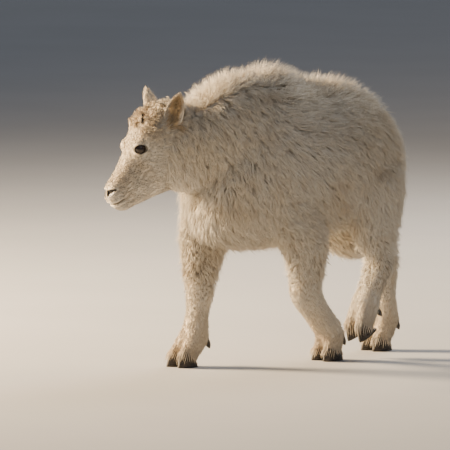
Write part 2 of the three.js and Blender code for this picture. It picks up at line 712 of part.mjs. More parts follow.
// The head, with the root of each ear, the lids round each eye, and the mouth and nostrils cut in.
const headSolids = [solid(head.geometry(24, 22))];
const headCuts = [];
for (const [label, { side, whole, clear, rootPlane }] of Object.entries(ears)) {
  headSolids.push(beyond(whole, rootPlane, -1));
  headCuts.push(beyond(clear, rootPlane));
  node(`ear_${label}`, beyond(whole, rootPlane).subtract(solid(head.geometry(24, 22, gap))), white);

  const centre = inHead(eye.out, side * eye.left, eye.up);
  const looking = headLeft.clone().multiplyScalar(side);
  looking.addScaledVector(headOut, 0.3).addScaledVector(headUp, 0.1);
  looking.normalize();
  const level = headOut.clone().multiplyScalar(Math.cos(eyeSlant));
  level.addScaledVector(headUp, Math.sin(eyeSlant));
  level.addScaledVector(looking, -level.dot(looking)).normalize();
  const axes = [level, looking.clone().cross(level).normalize(), looking];
  const ball = (radius) => solid(ellipsoid(centre, axes, [radius, radius, radius], 12, 7));
  node(`eye_${label}`, ball(eye.radius), glossy);
  headSolids.push(ball(eye.radius + eye.lid));
  const front = centre.clone().addScaledVector(looking, eye.radius);
  headCuts.push(ball(eye.radius + gap), solid(ellipsoid(front, axes, [eye.half, eye.high, 9], 12, 6)));
  const arch = inHead(brow.out, side * brow.left, brow.up);
  headSolids.push(solid(ellipsoid(arch, headAxes, [brow.long, brow.wide, brow.high], 10, 6)));

  const slit = inHead(nostril.out, side * nostril.left, nostril.up);
  const flare = headOut.clone().addScaledVector(headUp, -0.1).normalize();
  const slitAxes = [flare, headLeft, flare.clone().cross(headLeft).normalize()];
  headCuts.push(solid(ellipsoid(slit, slitAxes, [nostril.long, nostril.deep, nostril.high], 10, 6)));

  const hornAt = inHead(horn.out, side * horn.left, horn.up);
  const hornWay = headOut.clone().multiplyScalar(-0.62).addScaledVector(headUp, 0.78);
  const hornForm = new Form(
    [-0.15, 0.3, 0.65, 1].map((share) => ({
      centre: hornAt.clone().addScaledVector(hornWay, share * horn.length),
      side: headLeft,
      rise: headLeft.clone().cross(hornWay).normalize(),
      ...Object.fromEntries(
        ["wide", "over", "under"].map((key) => [key, lerp(horn.root, horn.tip, Math.max(share, 0))]),
      ),
    })),
  );
  const hornPlane = { point: hornAt, normal: hornWay };
  node(`horn_${label}`, beyond(solid(hornForm.geometry(5, 8)), hornPlane), horny);
  headCuts.push(beyond(solid(hornForm.geometry(5, 8, gap)), hornPlane));
}

// The mouth is a thin slit that follows the lips round the muzzle and ends at its corners.
const lipLine = new THREE.Shape();
const lipBend = lerp(mouth.corner, mouth.front, 0.4);
const lipLow = mouth.up - mouth.drop;
lipLine.moveTo(mouth.corner, lipLow + 0.3);
lipLine.quadraticCurveTo(lipBend, lipLow, mouth.front, mouth.up);
lipLine.lineTo(mouth.front, mouth.up - mouth.slit);
lipLine.quadraticCurveTo(lipBend, lipLow - mouth.slit, mouth.corner, lipLow);
const slitDepth = { depth: 60, bevelEnabled: false, curveSegments: 4 };
const slitGeometry = new THREE.ExtrudeGeometry(lipLine, slitDepth);
slitGeometry.translate(0, 0, -30);
const sheet = new THREE.Matrix4().makeBasis(headOut, headUp, headOut.clone().cross(headUp));
sheet.setPosition(headJoint);
headCuts.push(solid(slitGeometry.applyMatrix4(sheet)).subtract(solid(head.geometry(10, 12, -mouth.deep))));

// Tight curls on the brow, each a rounded clump that rises, bends over and turns back in.
function clump(place, angle) {
  const root = head.point(place, angle);
  const { normal } = head.frame(place, angle);
  const leaning = draw(0, turn);
  const side = normal.clone().cross(headOut).normalize();
  const other = normal.clone().cross(side);
  const lean = side.multiplyScalar(Math.cos(leaning)).addScaledVector(other, Math.sin(leaning));
  const rise = curl.rise * draw(0.75, 1.1) * (normal.z > 0.4 ? 1 : 0.7);
  const across = normal.clone().cross(lean).normalize();
  const down = (share) => lean.clone().addScaledVector(normal, -share).normalize();
  const stations = [
    { up: -4, over: 0, round: 1, facing: lean },
    { up: 0.45 * rise, over: 0.1, round: 1.05, facing: lean },
    { up: 0.9 * rise, over: 0.35, round: 1, facing: down(1) },
    { up: 0.95 * rise, over: 0.85, round: 0.75, facing: down(4) },
    { up: 0.55 * rise, over: 1.1, round: 0.35, facing: down(4) },
  ];
  const form = new Form(
    stations.map(({ up, over, round, facing }) => ({
      centre: root.clone().addScaledVector(normal, up).addScaledVector(lean, over * curl.over),
      side: across,
      rise: facing,
      wide: round * curl.round,
      over: round * curl.round,
      under: round * curl.round,
    })),
  );
  return solid(form.geometry(3, 5));
}
for (const { place, angle } of spots(head, curl.first, curl.last, curl.spacing)) {
  const root = head.point(place, angle);
  const crowded = Object.values(ears).some(({ rootPlane }) => rootPlane.point.distanceTo(root) < 21);
  if (Math.sin(angle) > 0.55 && !crowded) headSolids.push(clump(place, angle));
}
const headWhole = join(headSolids).subtract(join(headCuts));
node("head", beyond(headWhole, headPlane), white);

// The ground is under the lowest hoof, and the origin is in the middle of the box that holds the kid.
const box = new THREE.Box3().setFromObject(kid);
kid.position.set(-(box.min.x + box.max.x) / 2, -(box.min.y + box.max.y) / 2, -box.min.z);

export default kid;
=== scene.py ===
import math
import bmesh
import bpy
import numpy as np
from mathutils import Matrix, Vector
from mathutils.bvhtree import BVHTree
from mathutils.kdtree import KDTree


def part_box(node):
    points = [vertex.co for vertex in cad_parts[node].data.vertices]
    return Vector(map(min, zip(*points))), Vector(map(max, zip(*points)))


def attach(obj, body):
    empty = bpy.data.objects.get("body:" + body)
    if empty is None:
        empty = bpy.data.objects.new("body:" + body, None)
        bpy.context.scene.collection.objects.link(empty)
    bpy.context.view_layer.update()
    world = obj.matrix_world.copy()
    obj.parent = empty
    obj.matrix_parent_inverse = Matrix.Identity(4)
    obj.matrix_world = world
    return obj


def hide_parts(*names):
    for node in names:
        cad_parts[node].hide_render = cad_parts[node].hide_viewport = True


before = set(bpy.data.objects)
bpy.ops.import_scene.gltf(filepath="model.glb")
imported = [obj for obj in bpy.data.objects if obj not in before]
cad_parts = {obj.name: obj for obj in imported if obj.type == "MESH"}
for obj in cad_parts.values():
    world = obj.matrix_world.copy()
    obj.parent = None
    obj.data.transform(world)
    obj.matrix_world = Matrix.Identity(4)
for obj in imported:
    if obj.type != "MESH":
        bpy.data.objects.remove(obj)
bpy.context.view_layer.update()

random = np.random.default_rng(7)


def at(ahead, left, up):
    return np.array([left, -ahead, up], float)


def unit(v):
    v = np.asarray(v, float)
    return v / np.maximum(np.linalg.norm(v, axis=-1, keepdims=True), 1e-9)


def mix(a, b, share):
    return a + (b - a) * share


def smooth(value, low, high):
    t = np.clip((value - low) / (high - low), 0, 1)
    return t * t * (3 - 2 * t)


# The head's own directions
headSet = {"joint": at(184, -25, 396), "yaw": math.radians(15), "pitch": math.radians(41)}
headLeft = at(math.sin(headSet["yaw"]), math.cos(headSet["yaw"]), 0)
headLevel = at(math.cos(headSet["yaw"]), -math.sin(headSet["yaw"]), 0)
headOut = headLevel * math.cos(headSet["pitch"]) - at(0, 0, math.sin(headSet["pitch"]))
headUp = headLevel * math.sin(headSet["pitch"]) + at(0, 0, math.cos(headSet["pitch"]))


def inHead(out, left, up):
    return headSet["joint"] + headOut * out + headLeft * left + headUp * up


eyeSet = {"out": 71, "left": 23.5, "up": 22.5, "radius": 11, "half": 10.8, "high": 7, "lid": 1.6, "slant": 34}
eyeMiddle = inHead(eyeSet["out"], eyeSet["left"], eyeSet["up"])
low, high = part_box("eye_left")
origin = np.array((low + high) / 2) * 1000 - eyeMiddle  # from the places here to the frame's
origin[2] = 0


def metres(points):
    return (np.asarray(points, float) + origin) / 1000


# The camera looks at the kid's left side from ahead of it
cameraSet = {
    "azimuth": 50, "elevation": 5, "distance": 16000, "across": 742, "right": -70, "up": 227.7, "sensor": 36,
}
turn = math.radians(cameraSet["azimuth"])
tilt = math.radians(cameraSet["elevation"])
right = np.array([math.cos(turn), math.sin(turn), 0])
target = right * cameraSet["right"] + [0, 0, cameraSet["up"]]
back = np.array([math.sin(turn) * math.cos(tilt), -math.cos(turn) * math.cos(tilt), math.sin(tilt)])
camera = bpy.data.objects.new("camera", bpy.data.cameras.new("camera"))
camera.data.sensor_width = cameraSet["sensor"]
camera.data.lens = cameraSet["sensor"] * cameraSet["distance"] / cameraSet["across"]
camera.data.clip_end = 100
camera.location = Vector(metres(target + back * cameraSet["distance"]))
camera.rotation_mode = "QUATERNION"
camera.rotation_quaternion = Vector(-back).to_track_quat("-Z", "Y")
bpy.context.scene.collection.objects.link(camera)
bpy.context.scene.camera = camera
print("camera done")


# Smooth forms laid through sections
def through(values, place):
    values = np.asarray(values, float)
    last = len(values) - 1
    place = np.asarray(place, float)
    first = np.clip(np.floor(place * last).astype(int), 0, last - 1)
    f = (place * last - first).reshape(place.shape + (1,) * (values.ndim - 1))
    a, b, c, d = (values[np.clip(first + k, 0, last)] for k in (-1, 0, 1, 2))
    return b + 0.5 * f * (c - a + f * (2 * a - 5 * b + 4 * c - d + f * (3 * (b - c) + d - a)))


class Form:
    # Each section has a centre, the directions side and rise, and the half sizes wide, over and under.
    def __init__(self, sections, square=1.0, narrow=1.0):
        keys = ("centre", "side", "rise", "wide", "over", "under")
        self.rows = {key: np.array([s[key] for s in sections], float) for key in keys}
        self.rows["square"] = np.array([s.get("square", square) for s in sections], float)
        self.narrow = narrow

    def points(self, place, angle, grow=0):
        place, angle = np.broadcast_arrays(np.asarray(place, float), np.asarray(angle, float))
        row = {key: through(values, place) for key, values in self.rows.items()}
        cos, sin = np.cos(angle), np.sin(angle)
        bend = np.where(sin > 0, row["square"], self.narrow)
        across = np.sign(cos) * np.abs(cos) ** bend * (row["wide"] + grow)
        tall = sin * (np.where(sin > 0, row["over"], row["under"]) + grow)
        return row["centre"] + row["side"] * across[..., None] + row["rise"] * tall[..., None]

    def along(self, place):
        step = 0.01
        low, high = np.clip(place - step, 0, 1), np.clip(place + step, 0, 1)
        return unit(through(self.rows["centre"], high) - through(self.rows["centre"], low))

    def rings(self, count, sides, grow=0):
        angles = np.arange(sides) / sides * 2 * math.pi
        return [self.points(np.full(sides, k / count), angles, grow) for k in range(count + 1)]


def loft(bm, rings):
    before = None
    for number, ring in enumerate(rings):
        verts = bmesh.ops.create_circle(bm, segments=len(ring), radius=1)["verts"]
        for vert, place in zip(verts, metres(ring)):
            vert.co = place
        around = dict.fromkeys(edge for vert in verts for edge in vert.link_edges)
        edges = [edge for edge in around if all(vert in verts for vert in edge.verts)]
        if number in (0, len(rings) - 1):
            bmesh.ops.contextual_create(bm, geom=edges)
        if before:
            bmesh.ops.bridge_loops(bm, edges=before + edges)
        before = edges


def meshObject(name, bm):
    bmesh.ops.recalc_face_normals(bm, faces=bm.faces)
    mesh = bpy.data.meshes.new(name)
    bm.to_mesh(mesh)
    bm.free()
    made = bpy.data.objects.new(name, mesh)
    bpy.context.scene.collection.objects.link(made)
    return made


def formObject(name, *forms):
    bm = bmesh.new()
    for rings in forms:
        loft(bm, rings)
    return meshObject(name, bm)


def applied(made):
    # Puts the object's modifiers into its mesh.
    graph = bpy.context.evaluated_depsgraph_get()
    mesh = bpy.data.meshes.new_from_object(made.evaluated_get(graph))
    made.modifiers.clear()
    old, made.data = made.data, mesh
    bpy.data.meshes.remove(old)
    return made


def removed(*objects):
    for one in objects:
        bpy.data.objects.remove(one)


def cutBy(made, *cutters):
    for cutter in cutters:
        cut = made.modifiers.new("cut", "BOOLEAN")
        cut.operation = "DIFFERENCE"
        cut.solver = "EXACT"
        cut.object = cutter
    applied(made)
    removed(*cutters)
    return made


def joined(name, *objects):
    bm = bmesh.new()
    for one in objects:
        bm.from_mesh(one.data)
    removed(*objects)
    mesh = bpy.data.meshes.new(name)
    bm.to_mesh(mesh)
    bm.free()
    made = bpy.data.objects.new(name, mesh)
    bpy.context.scene.collection.objects.link(made)
    return made


def shaped(name, middle, axes, sizes, columns=32, rows=16):
    # A ball with its own size along each of three directions.
    bm = bmesh.new()
    bmesh.ops.create_uvsphere(bm, u_segments=columns, v_segments=rows, radius=1)
    for vert in bm.verts:
        vert.co = metres(middle + sum(axis * size * part for axis, size, part in zip(axes, sizes, vert.co)))
    return meshObject(name, bm)


# The body's outline, to the tips of the coat
coat = {"crest": 34, "flank": 22, "belly": 26, "nape": 28, "neck": 20, "throat": 18, "leg": 12}
proud = 0.55  # the share of the coat's depth that stands out from the skin

trunkOutline = [  # ahead, top, bottom, wide
    (159, 298, 245, 24), (152, 326, 224, 46), (138, 368, 203, 70), (108, 418, 194, 86),
    (70, 468, 188, 95), (30, 494, 188, 98), (-10, 496, 191, 99), (-50, 479, 195, 100),
    (-90, 471, 198, 101), (-135, 471, 206, 101), (-180, 459, 217, 98), (-218, 436, 234, 90),
    (-245, 406, 258, 73), (-261, 372, 290, 46), (-268, 350, 312, 20),
]
neckOutline = [  # ahead, left, up, wide, over, under, yaw
    (10, 0, 372, 74, 112, 96, 0), (60, 0, 373, 84, 117, 100, 0), (105, -2, 372, 78, 106, 96, 4),
    (145, -11, 371, 67, 79, 86, 9), (180, -23, 370, 58, 62, 77, 14), (212, -33, 368, 50, 54, 66, 15),
]
headOutline = [  # out, top, bottom, wide, square
    (-34, 26, -30, 28, 0.9), (-20, 37, -48, 39, 0.9), (5, 45, -60, 44, 0.85), (30, 51, -67, 45, 0.8),
    (55, 44, -70, 42, 0.85), (75, 32, -68, 37, 0.9), (92, 24.5, -64, 31, 0.8), (112, 16.5, -57, 26, 0.7),
    (132, 10.5, -50, 22, 0.65), (148, 6, -44, 20, 0.6), (157, -1, -38, 16, 0.6), (162, -8, -29, 9, 0.7),
]
legs = {  # ahead, left, up, deep, wide down to the fetlock, then the toe's ahead, up and tilt
    "foreleg_right": {"toe": (174, 0, 0), "sections": [
        (78, -38, 315, 42, 34), (90, -44, 240, 49, 38), (103, -43, 195, 42, 35), (110, -40, 155, 32, 28),
        (114, -38, 115, 22.5, 22), (120, -37, 84, 18, 18.5), (126, -36, 50, 22, 22),
    ]},
    "foreleg_left": {"toe": (-78, 0, 0), "sections": [
        (40, 40, 315, 48, 36), (-15, 48, 240, 50, 39), (-43, 45, 195, 42, 36), (-49, 41, 152, 33, 29),
        (-51, 38, 114, 27.5, 23), (-76, 37, 80, 21.5, 20), (-106, 36, 46, 22, 22),
    ]},
    "hindleg_right": {"toe": (-249, 0, 0), "sections": [
        (-172, -38, 350, 54, 40), (-182, -54, 290, 60, 44), (-186, -54, 238, 58, 40),
        (-228, -49, 200, 49, 31), (-279, -43, 181, 34, 23), (-287, -40, 140, 24, 20),
        (-289, -38, 95, 18, 18), (-289, -37, 55, 21, 21.5),
    ]},
    "hindleg_left": {"toe": (-155, 27, 30), "sections": [
        (-172, 38, 350, 54, 40), (-182, 56, 290, 59, 43), (-187, 55, 242, 54, 37),
        (-196, 49, 200, 41, 30), (-207, 44, 168, 27, 24), (-201, 42, 136, 22, 20.5),
        (-190, 40, 112, 20.5, 20), (-180, 39, 88, 22.5, 23),
    ]},
}
tailOutline = [  # ahead, up, deep, wide
    (-232, 390, 12, 20), (-250, 384, 13, 22), (-263, 366, 11, 22), (-269, 342, 8, 17), (-271, 318, 4, 7),
]


# Where each form's widest level is between its bottom and top, and how square its top and bottom are
roundness = {
    "trunk": {"level": 0.46, "least": 0.45, "top": 1.08, "bottom": 0.92},
    "neck": {"top": 1.1, "bottom": 1},
    "head": {"level": 0.6, "bottom": 1.35},
}


def trunkForm():
    shape = roundness["trunk"]
    middle = (trunkOutline[0][0] + trunkOutline[-1][0]) / 2
    drawIn = 1 - 2 * proud * coat["flank"] / (trunkOutline[0][0] - trunkOutline[-1][0])
    sections = []
    for ahead, top, bottom, wide in trunkOutline:
        level = mix(bottom, top, shape["level"])
        sections.append({
            "centre": at(middle + (ahead - middle) * drawIn, 0, level),
            "side": at(0, 1, 0),
            "rise": at(0, 0, 1),
            "wide": max(wide - proud * coat["flank"], shape["least"] * wide),
            "over": max(top - level - proud * coat["crest"], shape["least"] * (top - level)),
            "under": max(level - bottom - proud * coat["belly"], shape["least"] * (level - bottom)),
        })
    return Form(sections, shape["top"], shape["bottom"])


def neckForm():
    sections = [{
        "centre": at(ahead, left, up),
        "side": at(math.sin(math.radians(yaw)), math.cos(math.radians(yaw)), 0),
        "rise": at(0, 0, 1),
        "wide": wide - proud * coat["neck"],
        "over": over - proud * coat["nape"],
        "under": under - proud * coat["throat"],
    } for ahead, left, up, wide, over, under, yaw in neckOutline]
    return Form(sections, roundness["neck"]["top"], roundness["neck"]["bottom"])


def headForm():
    sections = []
    for out, top, bottom, wide, square in headOutline:
        level = mix(bottom, top, roundness["head"]["level"])
        sections.append({
            "centre": inHead(out, 0, level),
            "side": headLeft,
            "rise": headUp,
            "wide": wide,
            "over": top - level,
            "under": level - bottom,
            "square": square,
        })
    return Form(sections, narrow=roundness["head"]["bottom"])


def limbForm(rows, depthAt):
    # A limb's sections stand square to its path, which runs down the leg or the tail.
    centres = [at(ahead, left, up) for ahead, left, up, deep, wide in rows]
    sections = []
    for i, (ahead, left, up, deep, wide) in enumerate(rows):
        along = centres[min(i + 1, len(rows) - 1)] - centres[max(i - 1, 0)]
        along[0] = 0
        thin = proud * depthAt(up)
        sections.append({
            "centre": centres[i],
            "side": at(0, 1, 0),
            "rise": np.cross([1, 0, 0], unit(along)),
            "wide": wide - thin,
            "over": deep - thin,
            "under": deep - thin,
        })
    return Form(sections)


trunk, neck, head = trunkForm(), neckForm(), headForm()
tail = limbForm([(ahead, 0, up, deep - 3, wide - 5) for ahead, up, deep, wide in tailOutline], lambda up: 0)
for leg in legs.values():
    leg["form"] = limbForm(leg["sections"], lambda up: coat["leg"] if up > 140 else 3 * smooth(up, 60, 140))

# The feet: two toes under each fetlock, each with its hoof, and two dewclaws behind
hoofSet = {
    "length": 44, "crown": 18, "half": 10.5, "spread": 13, "splay": 4, "bow": 0.9, "groove": 0.25,
    "grooves": 9, "inset": 0.35, "sides": 36, "rings": 9,
}
toeSet = {"root": 7, "deep": 22, "wide": 15.5, "endDeep": 17, "endWide": 11.5, "shares": (-0.1, 0.3, 0.65, 1)}
clawSet = {
    "length": 12, "radius": 4.6, "spread": 9.5, "sunk": 3.5, "below": 11, "back": 0.45, "down": 0.89,
    "shape": ((-0.5, 1.05), (0.15, 1), (0.6, 0.8), (1, 0.25)),  # share of the length, share of the radius
}
sides = {"left": 1, "right": -1}
toes, hoofForms, clawForms = [], {}, {}


def toeForm(root, crown, heelward, across):
    return Form([{
        "centre": mix(root, crown, share),
        "side": across,
        "rise": heelward,
        "wide": mix(toeSet["wide"], toeSet["endWide"], share) - 1,
        "over": mix(toeSet["deep"], toeSet["endDeep"], share) - 1,
        "under": mix(toeSet["deep"], toeSet["endDeep"], share) - 1,
    } for share in toeSet["shares"]])


def hoofRings(side, crown, heelward, across, sole, behindWay):
    # The hoof runs from a round crown to a flat sole with a pointed toe, and its wall bows out a little.
    angles = np.arange(hoofSet["sides"]) / hoofSet["sides"] * 2 * math.pi
    reach = (0.5 + 0.5 * np.cos(angles))[:, None]
    wide = np.sin(angles)[:, None] * hoofSet["half"] * (0.8 + 0.3 * reach)
    middle = side * (hoofSet["spread"] + hoofSet["splay"] * (0.5 - reach))
    high = crown + heelward * (2 * reach - 1) * (toeSet["endDeep"] - 1)
    high = high + across * np.sin(angles)[:, None] * (toeSet["endWide"] - 1)
    low = sole + at(0, 1, 0) * (middle + wide) + behindWay * reach * hoofSet["length"]
    outward = unit((high + low) / 2 - (high + low).mean(0) / 2)
    rings = []
    for k in range(hoofSet["rings"]):
        share = k / (hoofSet["rings"] - 1)
        groove = hoofSet["groove"] * math.cos(hoofSet["grooves"] * math.pi * share)
        bow = (hoofSet["bow"] + groove) * math.sin(math.pi * share)
        inset = hoofSet["inset"] if k in (0, hoofSet["rings"] - 1) else 0
        rings.append(mix(high, low, share) + outward * (bow - inset))
    return rings


def dewclawForm(start, lean):
    cos, sin = math.cos(-lean * 0.5), math.sin(-lean * 0.5)
    backward, down = clawSet["back"], clawSet["down"]
    point = at(down * sin - backward * cos, 0, -down * cos - backward * sin)
    return Form([{
        "centre": start + point * share * clawSet["length"],
        "side": at(0, 1, 0),
        "rise": unit(np.cross([1, 0, 0], point)),
        "wide": clawSet["radius"] * size,
        "over": clawSet["radius"] * size,
        "under": clawSet["radius"] * size,
    } for share, size in clawSet["shape"]])


def addFoot(name, leg):
    ahead, left, up, deep, _ = leg["sections"][-1]
    toeAhead, toeUp, toeTilt = leg["toe"]
    lean = math.radians(toeTilt)
    behindWay, riseWay = at(-math.cos(lean), 0, math.sin(lean)), at(math.sin(lean), 0, math.cos(lean))
    sole = at(toeAhead, left, toeUp)
    for label, side in sides.items():
        crown = sole + at(0, side * hoofSet["spread"], 0)
        crown = crown + behindWay * 0.5 * hoofSet["length"] + riseWay * hoofSet["crown"]
        root = at(ahead, left + side * toeSet["root"], up)
        along = unit(crown - root)
        heelward = unit(np.cross([1, 0, 0], along))
        across = np.cross(heelward, along)
        across = across if across[0] > 0 else -across
        toes.append(toeForm(root, crown, heelward, across))
        hoofForms[f"{name}_hoof_{label}"] = hoofRings(side, crown, heelward, across, sole, behindWay)
        start = at(ahead - deep + clawSet["sunk"], left + side * clawSet["spread"], up - clawSet["below"])
        clawForms[f"{name}_dewclaw_{label}"] = dewclawForm(start, lean).rings(8, 20)


for name, leg in legs.items():
    addFoot(name, leg)

# The body's skin
skinSet = {"voxel": 0.0036, "headVoxel": 0.00118}  # in metres


def remeshed(made, size, passes, weights=None):
    remesh = made.modifiers.new("remesh", "REMESH")
    remesh.mode = "VOXEL"
    remesh.voxel_size = size
    applied(made)
    if weights:
        group = made.vertex_groups.new(name="soft")
        for vert in made.data.vertices:
            group.add([vert.index], weights(vert.co.z * 1000), "REPLACE")
    for count, grouped in passes:
        soften = made.modifiers.new("soften", "SMOOTH")
        soften.factor = 0.5
        soften.iterations = count
        if grouped:
            soften.vertex_group = "soft"
    applied(made)
    return made


bodyParts = [trunk.rings(44, 40), neck.rings(16, 36), tail.rings(12, 16)]
bodyParts += [leg["form"].rings(30, 24) for leg in legs.values()]
bodyParts += [toe.rings(6, 18) for toe in toes]
skinBody = formObject("skin_body", *bodyParts)
remeshed(skinBody, skinSet["voxel"], ((3, False), (14, True)), lambda up: float(smooth(up, 110, 230)))
print("body skin done")

# The head's skin, with ears, brows and lids
browSet = {"out": 60, "left": 20, "up": 29, "long": 17, "wide": 10, "high": 7}
nostrilSet = {"out": 155.5, "up": -0.5, "long": 9.2, "high": 4.2, "deep": 3.2, "flare": -0.1, "curve": 1.6}
mouthSet = {"corner": 141, "front": 172, "up": -17.5, "drop": 6, "half": 1.8, "deep": 3.4}
earSet = {
    "left": {"side": 1, "root": (26, 30, 2.5), "tip": (-32, 57, 54), "facing": (0.42, 0.91, 0)},
    "right": {"side": -1, "root": (15, 33, 6), "tip": (-29, 68, 58), "facing": (0.5, 0.87, 0)},
}
leafSet = {  # the half widths, the depths in front and the depths behind, from the ear's root to its tip
    "shares": (0, 0.22, 0.42, 0.62, 0.82, 1),
    "outer": ((11, 14.5, 16.8, 15.4, 10.4, 1.6), (5, 4, 3, 3, 2, 0.5), (9, 9, 8.5, 7.5, 4.6, 0.8)),
    "hollow": ((3, 11.4, 14.4, 12.8, 7.6, 0.8), (9, 14, 14, 14, 12, 8), (2, 5.6, 6.4, 5.4, 3.4, 0.5)),
    "hollowStart": 0.24, "hollowEnd": 0.94,
}
eyes = {}
for label, side in sides.items():
    looking = unit(headLeft * side + headOut * 0.3 + headUp * 0.1)
    slant = math.radians(eyeSet["slant"])
    level = headOut * math.cos(slant) + headUp * math.sin(slant)
    level = unit(level - looking * level.dot(looking))
    eyes[label] = {
        "middle": inHead(eyeSet["out"], side * eyeSet["left"], eyeSet["up"]),
        "axes": (level, np.cross(looking, level), looking),
    }


def earLeaf(one, shares, sizes):
    return Form([{
        "centre": one["base"] + one["along"] * share - one["facing"] * 3 * math.sin(share * 3),
        "side": one["across"],
        "rise": one["facing"],
        "wide": half,
        "over": front,
        "under": behind,
    } for share, half, front, behind in zip(shares, *sizes)])


def setEar(one):
    side = one["side"]
    one["base"] = inHead(one["root"][0], side * one["root"][1], one["root"][2])
    one["along"] = inHead(one["tip"][0], side * one["tip"][1], one["tip"][2]) - one["base"]
    facing = headOut * one["facing"][0] + headLeft * side * one["facing"][1] + headUp * one["facing"][2]
    length = one["along"].dot(one["along"])
    one["facing"] = unit(facing - one["along"] * facing.dot(one["along"]) / length)
    one["across"] = unit(np.cross(one["along"], one["facing"]))
    outer = earLeaf(one, leafSet["shares"], leafSet["outer"])
    hollowShares = [mix(leafSet["hollowStart"], leafSet["hollowEnd"], share) for share in leafSet["shares"]]
    hollow = earLeaf(one, hollowShares, leafSet["hollow"])
    made = formObject("ear", outer.rings(18, 28))
    return cutBy(made, formObject("hollow", hollow.rings(16, 24)))


def makeHead():
    parts = [formObject("head", head.rings(48, 44))]
    parts += [setEar(one) for one in earSet.values()]
    for label, side in sides.items():
        one = eyes[label]
        radius = eyeSet["radius"] + eyeSet["lid"]
        parts.append(shaped("lids", one["middle"], one["axes"], (radius,) * 3))
        sizes = (browSet["long"], browSet["wide"], browSet["high"])
        place = inHead(browSet["out"], side * browSet["left"], browSet["up"])
        parts.append(shaped("brow", place, (headOut, headLeft, headUp), sizes))
    made = joined("skin_head", *parts)
    remeshed(made, skinSet["headVoxel"], ((4, False),))
    for label in sides:
        one = eyes[label]
        ball = shaped("ball", one["middle"], one["axes"], (eyeSet["radius"] + 0.15,) * 3, 48, 24)
        place = one["middle"] + one["axes"][2] * eyeSet["radius"]
        opening = shaped("opening", place, one["axes"], (eyeSet["half"], eyeSet["high"], 9), 48, 24)
        cutBy(made, ball, opening)
    return made


skinHead = makeHead()
print("head skin done")


def arrays(made):
    mesh = made.data
    points = np.empty(len(mesh.vertices) * 3, np.float32)
    normals = np.empty(len(mesh.vertices) * 3, np.float32)
    mesh.vertices.foreach_get("co", points)
    mesh.vertices.foreach_get("normal", normals)
    points = points.reshape(-1, 3).astype(float) * 1000 - origin
    return points, normals.reshape(-1, 3).astype(float)


def mouthLine(out):
    share = np.clip((out - mouthSet["corner"]) / (mouthSet["front"] - mouthSet["corner"]), 0, 1)
    return mouthSet["up"] - mouthSet["drop"] * np.sin(math.pi / 2 * (1 - share))


def headPlaces(points):
    away = points - headSet["joint"]
    return away @ headOut, away @ headLeft, away @ headUp


def nostrilShare(points):
    # How far each point is from the middle of the nostril on its side, as a share of the hole's size.
    out, _, up = headPlaces(points)
    flare = unit(np.array([1, nostrilSet["flare"]]))
    a, b = out - nostrilSet["out"], up - nostrilSet["up"]
    long = (a * flare[0] + b * flare[1]) / nostrilSet["long"]
    high = b * flare[0] - a * flare[1] + nostrilSet["curve"] * long ** 2
    return np.hypot(long, high / (nostrilSet["high"] * (1 + 0.35 * np.clip(long, -1, 1))))


swells = {  # how proud each is, how far out and up its middle is, and its half length and half height
    "chin": (1.5, 146, -38, 9, 8),
    "cheek": (1.6, 40, -30, 26, 18),
    "hollow": (-1.8, 96, 2, 14, 9),
}


def carveMuzzle(made):
    # Presses the mouth line and the nostrils into the muzzle, with the rims and lips round them.
    points, normals = arrays(made)
    out, left, up = headPlaces(points)
    front = smooth(out, mouthSet["corner"], mouthSet["corner"] + 7)
    off = up - mouthLine(out)
    groove = -mouthSet["deep"] * np.exp(-(off / mouthSet["half"]) ** 2)
    lips = 1.3 * np.exp(-((off - 3.4) / 2.4) ** 2) + 0.9 * np.exp(-((off + 3.2) / 2.2) ** 2)
    far = nostrilShare(points)
    hole = -nostrilSet["deep"] * np.clip(1 - far ** 2, 0, 1) ** 0.8
    rim = 1.1 * np.exp(-((far - 1.35) / 0.4) ** 2)
    aside = smooth(np.abs(left), 3, 6)
    move = front * (groove + lips) + aside * (out > 120) * (hole + rim)
    for swell, outAt, upAt, long, high in swells.values():
        move = move + swell * np.exp(-((out - outAt) / long) ** 2 - ((up - upAt) / high) ** 2)
    points += normals * move[:, None]
    made.data.vertices.foreach_set("co", metres(points).astype(np.float32).ravel())
    made.data.update()


carveMuzzle(skinHead)

# Where each spot of the skin belongs
zoneForms = [trunk, neck, head, tail] + [leg["form"] for leg in legs.values()] + toes
zoneKinds = ["trunk", "neck", "head", "tail"] + ["leg"] * len(legs) + ["toe"] * len(toes)
zoneKinds = np.array(zoneKinds + [f"ear_{label}" for label in earSet])


def zoneTree(*kept):
    spots, places = [], []
    for number, form in enumerate(zoneForms):
        if zoneKinds[number] not in kept:
            continue
        for place in np.linspace(0.01, 0.99, 12 if zoneKinds[number] == "toe" else 50):
            angles = np.arange(28) / 28 * 2 * math.pi
            for angle, point in zip(angles, form.points(np.full(28, place), angles)):
                spots.append(point)
                places.append((number, place, angle))
    for number, (label, one) in enumerate(earSet.items()):
        if f"ear_{label}" not in kept:
            continue
        for share in np.linspace(0.2, 1, 12):
            for across in (-8, 0, 8):
                spots.append(one["base"] + one["along"] * share + one["across"] * across * (1.1 - share))
                places.append((len(zoneForms) + number, share, across))
    tree = KDTree(len(spots))
    for i, spot in enumerate(spots):
        tree.insert(spot, i)
    tree.balance()
    return tree, np.array(places)


zoneTrees = {
    "body": zoneTree("trunk", "neck", "tail", "leg", "toe"),
    "head": zoneTree("head", "ear_left", "ear_right"),
}


def zonesOf(points, part):
    tree, places = zoneTrees[part]
    return places[[tree.find(point)[1] for point in points]]


